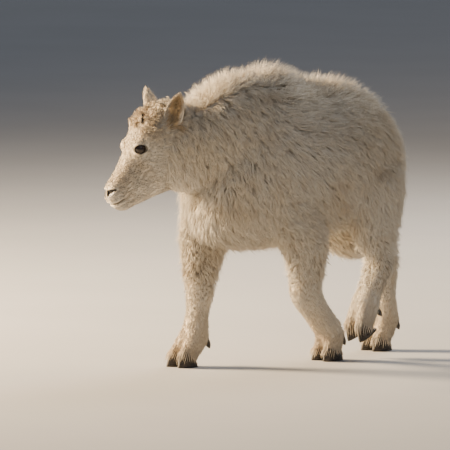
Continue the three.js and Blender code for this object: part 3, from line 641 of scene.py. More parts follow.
def onEar(points):
    # How far each point belongs to an ear.
    belongs = np.zeros(len(points))
    for one in earSet.values():
        away = points - one["base"]
        share = away @ one["along"] / one["along"].dot(one["along"])
        across = away @ one["across"]
        out = away @ one["facing"]
        here = (share > 0.16) & (share < 1.15) & (np.abs(across) < 19) & (np.abs(out) < 17)
        belongs = np.where(here, smooth(share, 0.16, 0.3), belongs)
    return belongs


marks = {  # how strong each marking is
    "crown": 0.34, "noseBridge": 0.1, "earRim": 0.12, "earInside": 0.78, "earHollowShade": 0.62, "lid": 0.9,
    "eyeCorner": 0.6, "mouth": 0.95, "nose": 0.5, "feet": 0.22,
}


def markings(points, normals):
    # How golden and how dark the coat and the skin are at each point. Part of the dark is painted shade: in
    # the ear hollows, in the nostrils and along the mouth's crease.
    out, left, up = headPlaces(points)
    crown = np.exp(-((out - 30) / 24) ** 2 - (left / 30) ** 2 - ((up - 50) / 17) ** 2)
    belongs = onEar(points)
    bridge = np.exp(-((out - 100) / 40) ** 2 - ((up - 25) / 14) ** 2)
    golden = marks["crown"] * crown + marks["noseBridge"] * bridge
    dark = np.zeros(len(points))
    for one in earSet.values():
        facing = normals @ one["facing"]
        away = points - one["base"]
        share = away @ one["along"] / one["along"].dot(one["along"])
        across = np.abs(away @ one["across"])
        here = belongs * (share > 0.1) * (across < 20) * (np.abs(away @ one["facing"]) < 17)
        inner = smooth(facing, 0.2, 0.8) * smooth(across, 12.5, 8.5) * smooth(share, 1.02, 0.85)
        golden = np.maximum(golden, here * (marks["earRim"] + marks["earInside"] * inner))
        # Darker along the middle of the ear's hollow, most towards its root: painted shade in the hollow
        hollow = here * smooth(facing, 0.3, 0.8) * np.exp(-(across / 4.5) ** 2) * smooth(share, 0.95, 0.6)
        dark = np.maximum(dark, marks["earHollowShade"] * hollow)
    for one in eyes.values():
        away = points - one["middle"]
        level, upright, deep = (away @ axis for axis in one["axes"])
        rim = np.hypot(level / eyeSet["half"], upright / eyeSet["high"])
        lid = np.exp(-((rim - 1) / 0.16) ** 2) * (deep > 3) * (np.linalg.norm(away, axis=1) < 17)
        dark = np.maximum(dark, marks["lid"] * lid)
        corner = np.exp(-((level - 11.5) / 3.5) ** 2 - ((upright + 2.4) / 2.2) ** 2) * (deep > 0)
        dark = np.maximum(dark, marks["eyeCorner"] * corner)
    # The nostrils are painted near-black: painted shade inside the openings, which are only shallow dents.
    # Points pressed into the nostril sit deeper than its outline, so they are also looked for further out
    lifted = points + 2.6 * unit(headOut * 0.7 + np.sign(left)[:, None] * headLeft)
    far = np.minimum(nostrilShare(points), nostrilShare(lifted) + 0.15)
    dark = np.maximum(dark, smooth(np.abs(left), 0.8, 2) * (out > 120) * smooth(far, 1.3, 1.05))
    # A near-black line along the mouth: painted shade in the crease between the lips
    line = np.exp(-((up - mouthLine(out)) / 1.7) ** 2)
    line = line * smooth(out, mouthSet["corner"] - 3, mouthSet["corner"] + 5)
    dark = np.maximum(dark, marks["mouth"] * line * (out < 185))
    nose = smooth(out, 150, 163) * smooth(up, -19, -12) * smooth(np.abs(left), 9, 3)
    dark = np.maximum(dark, marks["nose"] * nose)
    golden = np.maximum(golden, marks["feet"] * smooth(points[:, 2], 120, 30))
    return np.clip(golden, 0, 1), np.clip(dark, 0, 1)


def setValues(mesh, name, values):
    attribute = mesh.attributes.new(name, "FLOAT", "POINT")
    attribute.data.foreach_set("value", np.asarray(values, np.float32))


for skin in (skinBody, skinHead):
    points, normals = arrays(skin)
    golden, dark = markings(points, normals)
    setValues(skin.data, "golden", golden)
    # The dark values carry the lids' dark skin and the painted shade of the nostrils, the mouth's crease and
    # the ear hollows
    setValues(skin.data, "dark", dark)
    skin.data.polygons.foreach_set("use_smooth", np.ones(len(skin.data.polygons), bool))
print("markings done")

# How the coat lies
# How long, wide and close the coat's tufts are, in millimetres, and how wavy, clumped and loose they lie
wool = {
    "flank": {
        "long": 27, "half": 0.74, "close": 2.2, "rings": 3,
        "wave": 1.6, "clump": 7.5, "pull": 0.36, "loose": 9, "rough": 0.32,
    },
    "neck": {
        "long": 23, "half": 0.7, "close": 2.05, "rings": 3,
        "wave": 1.9, "clump": 7.5, "pull": 0.42, "loose": 9, "rough": 0.5,
    },
    "leg": {
        "long": 16, "half": 0.68, "close": 2.05, "rings": 2,
        "wave": 0.9, "clump": 6, "pull": 0.3, "loose": 9, "rough": 0.45,
    },
    "shin": {
        "long": 10, "half": 0.6, "close": 2.2, "rings": 2,
        "wave": 0.3, "clump": 5, "pull": 0.2, "loose": 3, "rough": 0.4,
    },
    "face": {
        "long": 8, "half": 0.5, "close": 1.85, "rings": 2,
        "wave": 0.3, "clump": 4, "pull": 0.2, "loose": 2, "rough": 0.5,
    },
    "cheek": {
        "long": 18, "half": 0.55, "close": 2, "rings": 2,
        "wave": 1, "clump": 6, "pull": 0.3, "loose": 4, "rough": 0.4,
    },
    "ear": {
        "long": 8, "half": 0.42, "close": 1.5, "rings": 2,
        "wave": 0.3, "clump": 5, "pull": 0.2, "loose": 4, "rough": 0.4,
    },
    "tail": {
        "long": 30, "half": 0.8, "close": 2.4, "rings": 3,
        "wave": 2, "clump": 9, "pull": 0.4, "loose": 9, "rough": 0.5,
    },
}
kinds = list(wool)
lies = {  # the way the coat lies on each place
    "flank": at(-1, 0, -0.3), "flankLow": at(-0.6, 0, -0.9), "shoulder": at(-0.25, 0, -1),
    "thigh": at(-0.35, 0, -1), "back": at(-1, 0, -0.1), "belly": at(-0.8, 0, -0.5),
    "neck": at(-0.4, 0, -1), "nape": at(-1, 0, 0.1), "throat": at(-0.35, 0, -1), "toe": at(0.5, 0, -1),
}


def depthOver(sin, side, over, under):
    return proud * mix(side, np.where(sin > 0, over, under), np.abs(sin) ** 4)


def trunkLie(points, normals, top):
    ahead, height = -points[:, 1], points[:, 2]
    lower = smooth(height, 420, 300)[:, None]
    flank = mix(np.tile(lies["flank"], (len(points), 1)), lies["flankLow"], lower)
    shoulder = mix(flank, lies["shoulder"], smooth(ahead, -20, 80)[:, None])
    along = mix(shoulder, lies["thigh"], smooth(ahead, -90, -190)[:, None])
    upper = mix(along, lies["back"], top[:, None])
    return mix(upper, lies["belly"], smooth(-normals[:, 2], 0.3, 0.8)[:, None])


def neckLie(points, normals, top):
    upper = mix(np.tile(lies["neck"], (len(points), 1)), lies["nape"], top[:, None])
    return mix(upper, lies["throat"], smooth(-normals[:, 2], 0.1, 0.7)[:, None])


def coatOver(points, normals, part):
    # For each point: the kind of wool, the way it lies, how deep it is and how far it stands up.
    zone = zonesOf(points, part)
    number = zone[:, 0].astype(int)
    place = zone[:, 1]
    kind = zoneKinds[number]
    sin = np.sin(zone[:, 2])
    height = points[:, 2]
    top = smooth(sin, 0.72, 1)
    wools = np.full(len(points), kinds.index("flank"))
    flow = np.zeros((len(points), 3))
    depth = np.zeros(len(points))
    stand = np.zeros(len(points))

    isTrunk = kind == "trunk"
    trunkFlow = trunkLie(points, normals, top)
    flow[isTrunk] = trunkFlow[isTrunk]
    depth[isTrunk] = depthOver(sin, coat["flank"], coat["crest"], coat["belly"])[isTrunk]

    isNeck = kind == "neck"
    flow[isNeck] = neckLie(points, normals, top)[isNeck]
    depth[isNeck] = depthOver(sin, coat["neck"], coat["nape"], coat["throat"])[isNeck]
    wools[isNeck] = kinds.index("neck")
    stand[isTrunk | isNeck] = top[isTrunk | isNeck]

    # A leg's coat is the flank's at the top, then shorter, and shortest below the knee or the hock
    isLeg = kind == "leg"
    for index in np.unique(number[isLeg]):
        here = number == index
        backward = at(-0.25, 0, 0) * smooth(height[here], 120, 200)[:, None]
        flow[here] = zoneForms[index].along(place[here]) + backward
    depth[isLeg] = proud * coat["leg"] * smooth(height, 100, 170)[isLeg] + 2.2
    wools[isLeg] = kinds.index("shin")
    wools[isLeg & (height > 150)] = kinds.index("leg")
    isThigh = isLeg & (height > 235)
    wools[isThigh] = kinds.index("flank")
    depth[isThigh] = proud * coat["leg"] * 1.15
    flow[isThigh] = mix(flow, trunkFlow, 0.5)[isThigh]

    isToe = kind == "toe"
    depth[isToe] = 2
    flow[isToe] = lies["toe"]
    wools[isToe] = kinds.index("shin")

    isTail = kind == "tail"
    depth[isTail] = 6
    flow[isTail] = tail.along(place[isTail]) + at(-0.15, 0, 0)
    wools[isTail] = kinds.index("tail")

    # The face's short hair grows longer behind the jaw, where it meets the neck's
    isHead = kind == "head"
    out, _, up = headPlaces(points)
    away = -headOut - headUp * 0.25 * smooth(up, 10, -30)[:, None]
    flow[isHead] = away[isHead]
    underJaw = smooth(out, 40, -10) * smooth(up, 10, -30)
    depth[isHead] = (0.9 + 2.6 * smooth(out, 90, 10) + 3.5 * underJaw)[isHead]
    wools[isHead] = kinds.index("face")
    behind = (points - headSet["joint"]) @ headLevel
    near = smooth(behind, 46, 4)
    isCheek = isHead & (behind < 28 + 14 * random.random(len(points))) & (up < 22)
    wools[isCheek] = kinds.index("cheek")
    depth[isHead] = np.maximum(depth, 6 * near)[isHead]
    flow[isHead] = mix(flow, -headLevel * 0.8 - at(0, 0, 0.7), (near * smooth(up, 30, 0))[:, None])[isHead]

    for label, one in earSet.items():
        isEar = kind == f"ear_{label}"
        flow[isEar] = unit(one["along"])
        depth[isEar] = 1.1
        wools[isEar] = kinds.index("ear")
    flat = flow - normals * np.sum(flow * normals, axis=1, keepdims=True)
    return {"wool": wools, "flow": unit(flat), "depth": depth, "stand": stand}


def triangles(made):
    mesh = made.data
    mesh.calc_loop_triangles()
    corners = np.empty(len(mesh.loop_triangles) * 3, np.int32)
    mesh.loop_triangles.foreach_get("vertices", corners)
    return corners.reshape(-1, 3)


def bakePlaces(zone):
    # Each form's own unwrap, its length across and its round up, has a field of the map to itself.
    fields = [(0, 0, 0.5, 0.5), (0.5, 0, 0.25, 0.5), (0.75, 0, 0.25, 0.5), (0.88, 0.86, 0.12, 0.14)]
    fields += [(0.2 * k, 0.5, 0.2, 0.36) for k in range(4)]
    fields += [(0.1 * k, 0.86, 0.1, 0.14) for k in range(8)]
    fields += [(0.8, 0.5, 0.1, 0.3), (0.9, 0.5, 0.1, 0.3)]
    number = zone[:, 0].astype(int)
    field = np.array(fields)[number]
    around = np.where(number >= len(zoneForms), zone[:, 2] / 16 + 0.5, (zone[:, 2] / (2 * math.pi)) % 1)
    inField = np.stack([np.clip(zone[:, 1], 0, 1), around], 1)
    return field[:, :2] + field[:, 2:] * (0.04 + 0.92 * inField)


class Skin:
    # The skin's surface with what the coat needs to know at each of its points.
    def __init__(self, made, part):
        self.part = part
        self.points, self.normals = arrays(made)
        self.corners = triangles(made)
        self.tree = BVHTree.FromPolygons(self.points.tolist(), self.corners.tolist())
        self.coat = coatOver(self.points, self.normals, part)
        # No tufts where the skin is dark, so the lids and the painted shade in the nostrils and the mouth's
        # crease show
        self.bare = markings(self.points, self.normals)[1] > 0.4
        a, b, c = (self.points[self.corners[:, k]] for k in range(3))
        self.areas = np.linalg.norm(np.cross(b - a, c - a), axis=1) / 2

    def scatter(self, chance):
        # Random spots, with the chance of one for each square millimetre of a triangle.
        wanted = self.areas * chance
        count = int(wanted.sum())
        picked = np.searchsorted(np.cumsum(wanted), random.random(count) * wanted.sum())
        picked = np.clip(picked, 0, len(wanted) - 1)
        u, v = random.random(count), random.random(count)
        flip = u + v > 1
        u, v = np.where(flip, 1 - u, u), np.where(flip, 1 - v, v)
        a, b, c = (self.corners[picked, k] for k in range(3))
        spots = self.points[a] + (self.points[b] - self.points[a]) * u[:, None]
        spots += (self.points[c] - self.points[a]) * v[:, None]
        return spots, np.where(u > 0.5, b, np.where(v > 0.5, c, a))

    def holds(self, points, deep=7):
        # Whether each point is well under this skin.
        under = []
        for point in points:
            near, normal, _, _ = self.tree.find_nearest(point)
            under.append((Vector(point) - near).dot(normal) < -deep)
        return np.array(under)


skins = {"body": Skin(skinBody, "body"), "head": Skin(skinHead, "head")}


def tufts(name, paths, rises, halves, flats, shades, tints, zones, taper):
    # Flat, three-sided, tapered tufts as one mesh. Each path has a root, some stations and a tip.
    count, stations, _ = paths.shape
    rings = stations - 1
    along = unit(np.gradient(paths, axis=1))
    across = unit(np.cross(along, rises))
    rises = unit(np.cross(across, along))
    half = (halves[:, None] * taper[None, :rings])[..., None]
    ridge = rises[:, :rings] * half * flats
    sidewise = across[:, :rings] * half
    ring = np.stack([paths[:, :rings] + sidewise, paths[:, :rings] + ridge, paths[:, :rings] - sidewise], 2)
    corners = np.concatenate([ring.reshape(count, rings * 3, 3), paths[:, -1:]], 1)
    each = rings * 3 + 1
    loops, totals = [0, 1, 2], [3]
    for r in range(rings - 1):
        for c in range(3):
            d = (c + 1) % 3
            loops += [3 * r + c, 3 * r + 3 + c, 3 * r + 3 + d, 3 * r + d]
            totals.append(4)
    for c in range(3):
        loops += [3 * rings - 3 + c, 3 * rings, 3 * rings - 3 + (c + 1) % 3]
        totals.append(3)
    template = np.array(loops)
    allLoops = (template[None] + np.arange(count)[:, None] * each).ravel()
    allTotals = np.tile(totals, count)
    mesh = bpy.data.meshes.new(name)
    mesh.vertices.add(count * each)
    mesh.vertices.foreach_set("co", metres(corners.reshape(-1, 3)).astype(np.float32).ravel())
    mesh.loops.add(len(allLoops))
    mesh.loops.foreach_set("vertex_index", allLoops.astype(np.int32))
    mesh.polygons.add(len(allTotals))
    starts = np.concatenate([[0], np.cumsum(allTotals)[:-1]])
    mesh.polygons.foreach_set("loop_start", starts.astype(np.int32))
    mesh.polygons.foreach_set("use_smooth", np.ones(len(allTotals), bool))
    mesh.update(calc_edges=True)
    mesh.validate()
    share = np.concatenate([np.repeat(np.arange(rings) / rings, 3), [1]])
    side = np.concatenate([np.tile([-1, 0, 1], rings), [0]])
    setValues(mesh, "share", np.tile(share, count))
    setValues(mesh, "shade", np.repeat(shades, each))
    setValues(mesh, "golden", np.repeat(tints[0], each))
    # Tufts carry the dark values at their roots, the painted shade of the ear hollows included
    setValues(mesh, "dark", np.repeat(tints[1], each))
    patch = np.stack([side * 0.0015, share * 0.003 - 0.0015], 1)
    bake = (bakePlaces(zones)[:, None] + patch[None]).reshape(-1, 2)[allLoops]
    mesh.uv_layers.new(name="OFBake").data.foreach_set("uv", bake.astype(np.float32).ravel())
    strand = np.tile(np.stack([side * 0.5 + 0.5, share], 1), (count, 1))
    strand[:, 0] += np.repeat(shades * 7, each)
    mesh.uv_layers.new(name="strand").data.foreach_set("uv", strand[allLoops].astype(np.float32).ravel())
    made = bpy.data.objects.new(name, mesh)
    bpy.context.scene.collection.objects.link(made)
    return made


def clumpsOf(spots, spacing):
    # Gathers spots into clumps about one spacing across: the number of each spot's clump, and its middle.
    order = random.permutation(len(spots))
    chosen = spots[order[: max(int(len(spots) * 0.9 * (2.7 / spacing) ** 2), 1)]]
    near = KDTree(len(chosen))
    for i, spot in enumerate(chosen):
        near.insert(spot, i)
    near.balance()
    number = np.array([near.find(spot)[1] for spot in spots])
    return number, chosen[number]


def growth(skin, spots, hosts, kind, other=None):
    # The paths of one kind of tuft from their roots, following the skin at the coat's depth.
    settings = wool[kind]
    if other is not None:
        free = ~other.holds(spots)
        spots, hosts = spots[free], hosts[free]
    number, middles = clumpsOf(spots, settings["clump"])
    total = number.max() + 1
    clumpRandom = random.random((total, 6))[number]
    own = random.random((len(spots), 6))
    depth, stand = skin.coat["depth"][hosts], skin.coat["stand"][hosts]
    long = settings["long"] * (0.75 + 0.3 * clumpRandom[:, 0] + 0.25 * own[:, 0])
    rings = settings["rings"]
    roots = hosts.copy()
    shares = np.arange(rings + 1) / rings
    stray = (clumpRandom[:, 1] - 0.5) * 0.7 + (own[:, 1] - 0.5) * 0.4
    paths = np.empty((len(spots), rings + 1, 3))
    rises = np.empty_like(paths)
    ground = spots.copy()
    normal = skin.normals[hosts]
    flow = skin.coat["flow"][hosts]
    for k, share in enumerate(shares):
        if k:
            step = mix(long, depth * (0.4 + 0.5 * share), stand) / rings
            turned = flow * np.cos(stray)[:, None] + np.cross(normal, flow) * np.sin(stray)[:, None]
            ahead = ground + turned * step[:, None]
            for i, point in enumerate(ahead):
                near, _, face, _ = skin.tree.find_nearest(point)
                ground[i] = near
                hosts[i] = skin.corners[face][0]
            normal = skin.normals[hosts]
            flow = skin.coat["flow"][hosts]
        rough = settings["rough"]
        lying = depth * (0.95 - 0.7 * rough + rough * clumpRandom[:, 2] + 0.2 * own[:, 2]) * share ** 0.65
        lying += settings["loose"] * own[:, 5] ** 7 * share ** 1.5
        upright = depth * share * (0.55 + 0.3 * clumpRandom[:, 2] + 0.95 * own[:, 2] ** 2)
        height = mix(lying, upright, stand) - 1.2 * (share == 0)
        paths[:, k] = ground + normal * height[:, None]
        rises[:, k] = normal
    pull = settings["pull"] * shares[None, :, None] ** 1.3
    toMiddle = middles - spots
    toMiddle -= skin.normals[roots] * np.sum(toMiddle * skin.normals[roots], axis=1, keepdims=True)
    paths += toMiddle[:, None] * pull
    across = unit(np.cross(np.gradient(paths, axis=1), rises))
    phase = clumpRandom[:, 3] * 2 * math.pi + (own[:, 3] - 0.5) * 1.2
    waves = 4.2 + 2.5 * clumpRandom[:, 4]
    sway = settings["wave"] * shares ** 0.7 * np.sin(phase[:, None] + shares * waves[:, None])
    paths += across * sway[..., None]
    shades = np.clip(0.6 * clumpRandom[:, 5] + 0.4 * own[:, 5], 0, 1)
    return spots, paths, rises, shades, roots, own


tapers = {2: np.array([1, 0.8]), 3: np.array([0.9, 1, 0.62])}  # the width at each ring of a tuft


def coatPiece(name, skinName, kind, keep, other=None):
    skin = skins[skinName]
    settings = wool[kind]
    close = settings["close"] * 1
    here = (skin.coat["wool"] == kinds.index(kind)) & keep(skin.points)
    here &= ~skin.bare | (kind == "ear")
    chance = (here[skin.corners].sum(1) > 1) / close ** 2
    spots, hosts = skin.scatter(chance)
    spots, paths, rises, shades, roots, own = growth(skin, spots, hosts, kind, other and skins[other])
    # Face and cheek tufts that cross a dark mark are left out, so the lids and the painted shade in the
    # nostrils and the mouth's crease are not covered
    if kind in ("face", "cheek"):
        crossed = [markings(paths[:, k], skin.normals[roots])[1] for k in range(1, paths.shape[1])]
        free = np.max(crossed, axis=0) < 0.45
        kept = (rows[free] for rows in (spots, paths, rises, shades, roots, own))
        spots, paths, rises, shades, roots, own = kept
    zones = zonesOf(spots, skinName)
    tints = markings(spots, skin.normals[roots])
    halves = settings["half"] * 1 * (0.75 + 0.5 * own[:, 4])
    halves *= 1 - 0.35 * skin.coat["stand"][roots]
    made = tufts(name, paths, rises, halves, 0.45, shades, tints, zones, tapers[settings["rings"]])
    print(name, len(spots), "tufts", len(spots) * (6 * settings["rings"] - 2), "triangles")
    return made


def everywhere(points):
    return np.ones(len(points), bool)


def between(low, high, leftSide):
    # The coat of one side of the trunk between two places along it.
    def keep(points):
        ahead = -points[:, 1]
        return (ahead >= low) & (ahead < high) & ((points[:, 0] >= 0) == leftSide)

    return keep


coats = []
for side, isLeft in (("left", True), ("right", False)):
    coats.append(coatPiece(f"coat_rump_{side}", "body", "flank", between(-400, -110, isLeft)))
    coats.append(coatPiece(f"coat_flank_{side}", "body", "flank", between(-110, 20, isLeft)))
    coats.append(coatPiece(f"coat_shoulder_{side}", "body", "flank", between(20, 300, isLeft)))
    coats.append(coatPiece(f"coat_neck_{side}", "body", "neck", between(-100, 400, isLeft), "head"))
coats.append(coatPiece("coat_legs", "body", "leg", everywhere))
coats.append(coatPiece("coat_shins", "body", "shin", everywhere))
coats.append(coatPiece("coat_tail", "body", "tail", everywhere))
coats.append(coatPiece("coat_face", "head", "face", everywhere, "body"))
coats.append(coatPiece("coat_cheeks", "head", "cheek", everywhere, "body"))
coats.append(coatPiece("coat_ears", "head", "ear", everywhere))
print("coat done")

# Curls on the brow
hornSet = {
    "out": 46, "left": 15, "up": 38, "root": 4.8, "tip": 0.9, "length": 27, "back": 0.62, "rise": 0.78,
    "bend": 1.4, "rings": 30, "sides": 24, "ridge": 0.22, "ridges": 34,
}
curlSet = {
    "rise": 8.5, "turns": 1.3, "round": 2.9, "lean": 7, "half": 0.62, "rings": 9, "close": 2.2, "clump": 6.5,
    "pull": 0.4, "back": -22, "front": 50, "halfWide": 42, "fromEars": 16, "fromHorns": 9.5,
}
curlTaper = np.array([0.8, 1, 1, 1, 0.95, 0.9, 0.8, 0.7, 0.5])


def curlPlaces(skin):
    # Where curls grow: on top of the head, clear of the ears and the horns.
    out, left, _ = headPlaces(skin.points)
    here = (out > curlSet["back"]) & (out < curlSet["front"]) & (np.abs(left) < curlSet["halfWide"])
    here &= (skin.normals @ headUp > 0.3) & (skin.coat["wool"] != kinds.index("ear"))
    for one in earSet.values():
        nearest = np.clip((skin.points - one["base"]) @ one["along"] / one["along"].dot(one["along"]), 0, 1)
        off = np.linalg.norm(skin.points - one["base"] - nearest[:, None] * one["along"], axis=1)
        here &= off > curlSet["fromEars"]
    for side in sides.values():
        place = inHead(hornSet["out"] - 6, side * hornSet["left"], hornSet["up"] + 6)
        here &= np.linalg.norm(skin.points - place, axis=1) > curlSet["fromHorns"]
    return here


def makeCurls():
    skin = skins["head"]
    close = curlSet["close"] * 1
    spots, hosts = skin.scatter(curlPlaces(skin)[skin.corners].all(1) / close ** 2)
    number, middles = clumpsOf(spots, curlSet["clump"])
    shared = random.random((number.max() + 1, 5))[number]
    own = random.random((len(spots), 5))
    normal = skin.normals[hosts]
    first = unit(np.cross(normal, headOut))
    second = np.cross(normal, first)
    lean = shared[:, 0] * 2 * math.pi
    way = first * np.cos(lean)[:, None] + second * np.sin(lean)[:, None]
    over = np.cross(normal, way)
    shares = np.linspace(0, 1, curlSet["rings"] + 1)
    out = headPlaces(skin.points[hosts])[0]
    tall = curlSet["rise"] * (0.65 + 0.5 * shared[:, 1] + 0.3 * own[:, 1])
    tall = tall * (0.6 + 0.4 * smooth(out, -25, -5)) * (0.5 + 0.5 * smooth(out, 50, 30))
    paths = []
    for share in shares:
        angle = share * curlSet["turns"] * 2 * math.pi + (own[:, 2] - 0.5) * 0.8
        radius = curlSet["round"] * (0.7 + 0.6 * shared[:, 2]) * min(share * 2.2, 1) * (1 - 0.35 * share)
        lifted = tall * math.sin(min(share * 1.25, 1) * math.pi / 2) - 1.5 * (share == 0)
        lifted = lifted + radius * np.sin(angle) * 0.8
        aside = radius * np.cos(angle) + curlSet["lean"] * share * (0.4 + shared[:, 3])
        twist = 2.2 * share * np.sin(angle)
        paths.append(spots + normal * lifted[:, None] + way * aside[:, None] + over * twist[:, None])
    paths = np.stack(paths, 1) + (middles - spots)[:, None] * (curlSet["pull"] * shares[None, :, None])
    rises = np.repeat((over + 0.2 * normal)[:, None], len(shares), axis=1)
    golden = np.clip(markings(spots, normal)[0] * (0.75 + 0.6 * own[:, 3]), 0, 1)
    tints = (golden, np.zeros(len(spots)))
    halves = curlSet["half"] * (0.75 + 0.5 * own[:, 4])
    shades = 0.5 * shared[:, 4] + 0.5 * own[:, 0]
    made = tufts("coat_curls", paths, rises, halves, 0.7, shades, tints, zonesOf(spots, "head"), curlTaper)
    print("coat_curls", len(spots), "tufts", len(spots) * 52, "triangles")
    return made


coats.append(makeCurls())
print("curls done")


# The hair that hangs from each toe over its hoof, longest at the heel
hoofHair = {"each": 260, "half": 0.55, "start": 0.7, "reach": 0.62, "proud": 1.1, "heel": 4.5}


def makeHoofHair():
    each = hoofHair["each"] // 1
    paths, rises, zones, own = [], [], [], random.random((len(toes) * each, 5))
    for number, (toe, rings) in enumerate(zip(toes, hoofForms.values())):
        rings = np.array(rings)
        share, angle, length, out, _ = own[number * each:(number + 1) * each].T
        angle = angle * 2 * math.pi
        column = (angle / (2 * math.pi) * hoofSet["sides"]).astype(int) % hoofSet["sides"]
        behind = 0.5 - 0.5 * np.cos(angle)
        place = mix(hoofHair["start"], 1, share)
        stations = [toe.points(place, math.pi / 2 - angle, -0.8)]
        facing = [unit(rings[0, column] - rings[0].mean(0))]
        down = hoofHair["reach"] * (0.3 + 0.7 * share) * (0.6 + 0.6 * length + 0.35 * behind)
        for part in (0.3, 0.65, 1):
            level = np.clip(down * part, 0, 0.98) * (len(rings) - 1)
            first = level.astype(int)
            wall = mix(rings[first, column], rings[first + 1, column], (level - first)[:, None])
            outward = unit(wall - rings[first].mean(1))
            off = hoofHair["proud"] * (0.5 + out) + hoofHair["heel"] * behind ** 2 * part * (0.4 + out)
            stations.append(wall + outward * off[:, None])
            facing.append(outward)
        paths.append(np.stack(stations, 1))
        rises.append(np.stack(facing, 1))
        row = np.full(each, list(zoneKinds).index("toe") + number)
        zones.append(np.stack([row, place, (math.pi / 2 - angle) % (2 * math.pi)], 1))
    paths, rises, zones = (np.concatenate(rows) for rows in (paths, rises, zones))
    halves = hoofHair["half"] * 1 * (0.75 + 0.5 * own[:, 4])
    tints = markings(paths[:, 0], rises[:, 0])
    made = tufts("coat_feet", paths, rises, halves, 0.45, own[:, 3], tints, zones, tapers[3])
    print("coat_feet", len(paths), "tufts", len(paths) * 16, "triangles")
    return made


coats.append(makeHoofHair())
print("hair over the hooves done")


# Eyes, horns, hooves
def makeEye(label):
    one = eyes[label]
    radius = eyeSet["radius"]
    bm = bmesh.new()
    bmesh.ops.create_uvsphere(bm, u_segments=48, v_segments=32, radius=radius)
    layer = bm.loops.layers.uv.new("gaze")
    for face in bm.faces:
        face.smooth = True
        for loop in face.loops:
            loop[layer].uv = (loop.vert.co.x / radius * 0.5 + 0.5, loop.vert.co.y / radius * 0.5 + 0.5)
    for vert in bm.verts:
        # the cornea stands out a little in front
        front = max(vert.co.z / radius, 0)
        swell = 1 + 0.045 * max(front - 0.72, 0) / 0.28
        vert.co = metres(one["middle"] + sum(axis * part * swell for axis, part in zip(one["axes"], vert.co)))
    return meshObject(f"eyeball_{label}", bm)


def makeHorn(label, side):
    # A small, ringed spike that bends back a little.
    base = inHead(hornSet["out"], side * hornSet["left"], hornSet["up"])
    way = headOut * -hornSet["back"] + headUp * hornSet["rise"]
    bend = unit(np.cross(headLeft, way))
    angles = (np.arange(hornSet["sides"]) / hornSet["sides"] * 2 * math.pi)[:, None]
    rings = []
    for share in np.linspace(0, 1, hornSet["rings"] + 1):
        size = mix(hornSet["root"], hornSet["tip"], share ** 1.5)
        size += hornSet["ridge"] * math.sin(share * hornSet["ridges"]) * (1 - share)
        middle = base + way * share * hornSet["length"] - bend * hornSet["bend"] * share ** 2
        rings.append(middle + np.cos(angles) * headLeft * size + np.sin(angles) * bend * size)
    rings.append(mix(rings[-1], rings[-1].mean(0), 0.65) + way * 0.7)
    return formObject(f"horn_{label}_ringed", rings)


eyeballs = {label: makeEye(label) for label in sides}
horns = {label: makeHorn(label, side) for label, side in sides.items()}
hooves = {name: formObject(name + "_wall", rings) for name, rings in hoofForms.items()}
claws = {name: formObject(name + "_point", rings) for name, rings in clawForms.items()}
for one in list(horns.values()) + list(hooves.values()) + list(claws.values()):
    one.data.polygons.foreach_set("use_smooth", np.ones(len(one.data.polygons), bool))
for one in hooves.values():
    edge = one.modifiers.new("edge", "BEVEL")
    edge.width = 0.0009
    edge.segments = 3
    edge.limit_method = "ANGLE"
    edge.angle_limit = math.radians(50)
print("eyes, horns and hooves done")


# Materials
class Wire:
    # A socket in a material's nodes. Sums on it add the nodes that work them out.
    def __init__(self, paint, socket):
        self.paint, self.socket = paint, socket

    def sum(self, kind, a, b):
        return self.paint.add("ShaderNodeMath", {"operation": kind}, {0: a, 1: b})

    def __add__(self, other):
        return self.sum("ADD", self, other)

    def __radd__(self, other):
        return self.sum("ADD", other, self)

    def __sub__(self, other):
        return self.sum("SUBTRACT", self, other)

    def __rsub__(self, other):
        return self.sum("SUBTRACT", other, self)

    def __mul__(self, other):
        return self.sum("MULTIPLY", self, other)

    def __rmul__(self, other):
        return self.sum("MULTIPLY", other, self)


class Paint:
    def __init__(self, name, **fixed):
        self.material = bpy.data.materials.new(name)
        self.material.use_nodes = True
        self.nodes, self.links = self.material.node_tree.nodes, self.material.node_tree.links
        self.shader = next(node for node in self.nodes if node.type == "BSDF_PRINCIPLED")
        for key, value in fixed.items():
            self.shader.inputs[key.replace("_", " ")].default_value = value

    def add(self, kind, settings=None, values=None, output=0):
        node = self.nodes.new(kind)
        for key, value in (settings or {}).items():
            setattr(node, key, value)
        for key, value in (values or {}).items():
            self.put(node.inputs[key], value)
        return Wire(self, node.outputs[output])

    def put(self, socket, value):
        if isinstance(value, Wire):
            self.links.new(value.socket, socket)
        else:
            socket.default_value = value

    def colour(self, share, a, b):
        a, b = (c if isinstance(c, Wire) else (*c, 1) for c in (a, b))
        return self.add("ShaderNodeMix", {"data_type": "RGBA"}, {0: share, 6: a, 7: b}, 2)

    def places(self, scale=(1, 1, 1)):
        where = self.add("ShaderNodeTexCoord", output="Object")
        return self.add("ShaderNodeMapping", None, {"Vector": where, "Scale": scale})

    def noise(self, scale, detail=3.0, where=None, stretch=(1, 1, 1)):
        values = {"Vector": where or self.places(stretch), "Scale": scale, "Detail": detail}
        return self.add("ShaderNodeTexNoise", {"noise_dimensions": "3D"}, values)

    def value(self, name):
        return self.add("ShaderNodeAttribute", {"attribute_name": name}, None, "Fac")

    def ramp(self, value, low, high, start=0.0, end=1.0):
        values = {"Value": value, "From Min": low, "From Max": high, "To Min": start, "To Max": end}
        return self.add("ShaderNodeMapRange", {"interpolation_type": "SMOOTHSTEP"}, values)

    def bump(self, height, strength, distance):
        values = {"Height": height, "Strength": strength, "Distance": distance}
        return self.add("ShaderNodeBump", None, values)

    def finish(self, **links):
        for key, value in links.items():
            self.put(self.shader.inputs[key.replace("_", " ")], value)
        return self.material


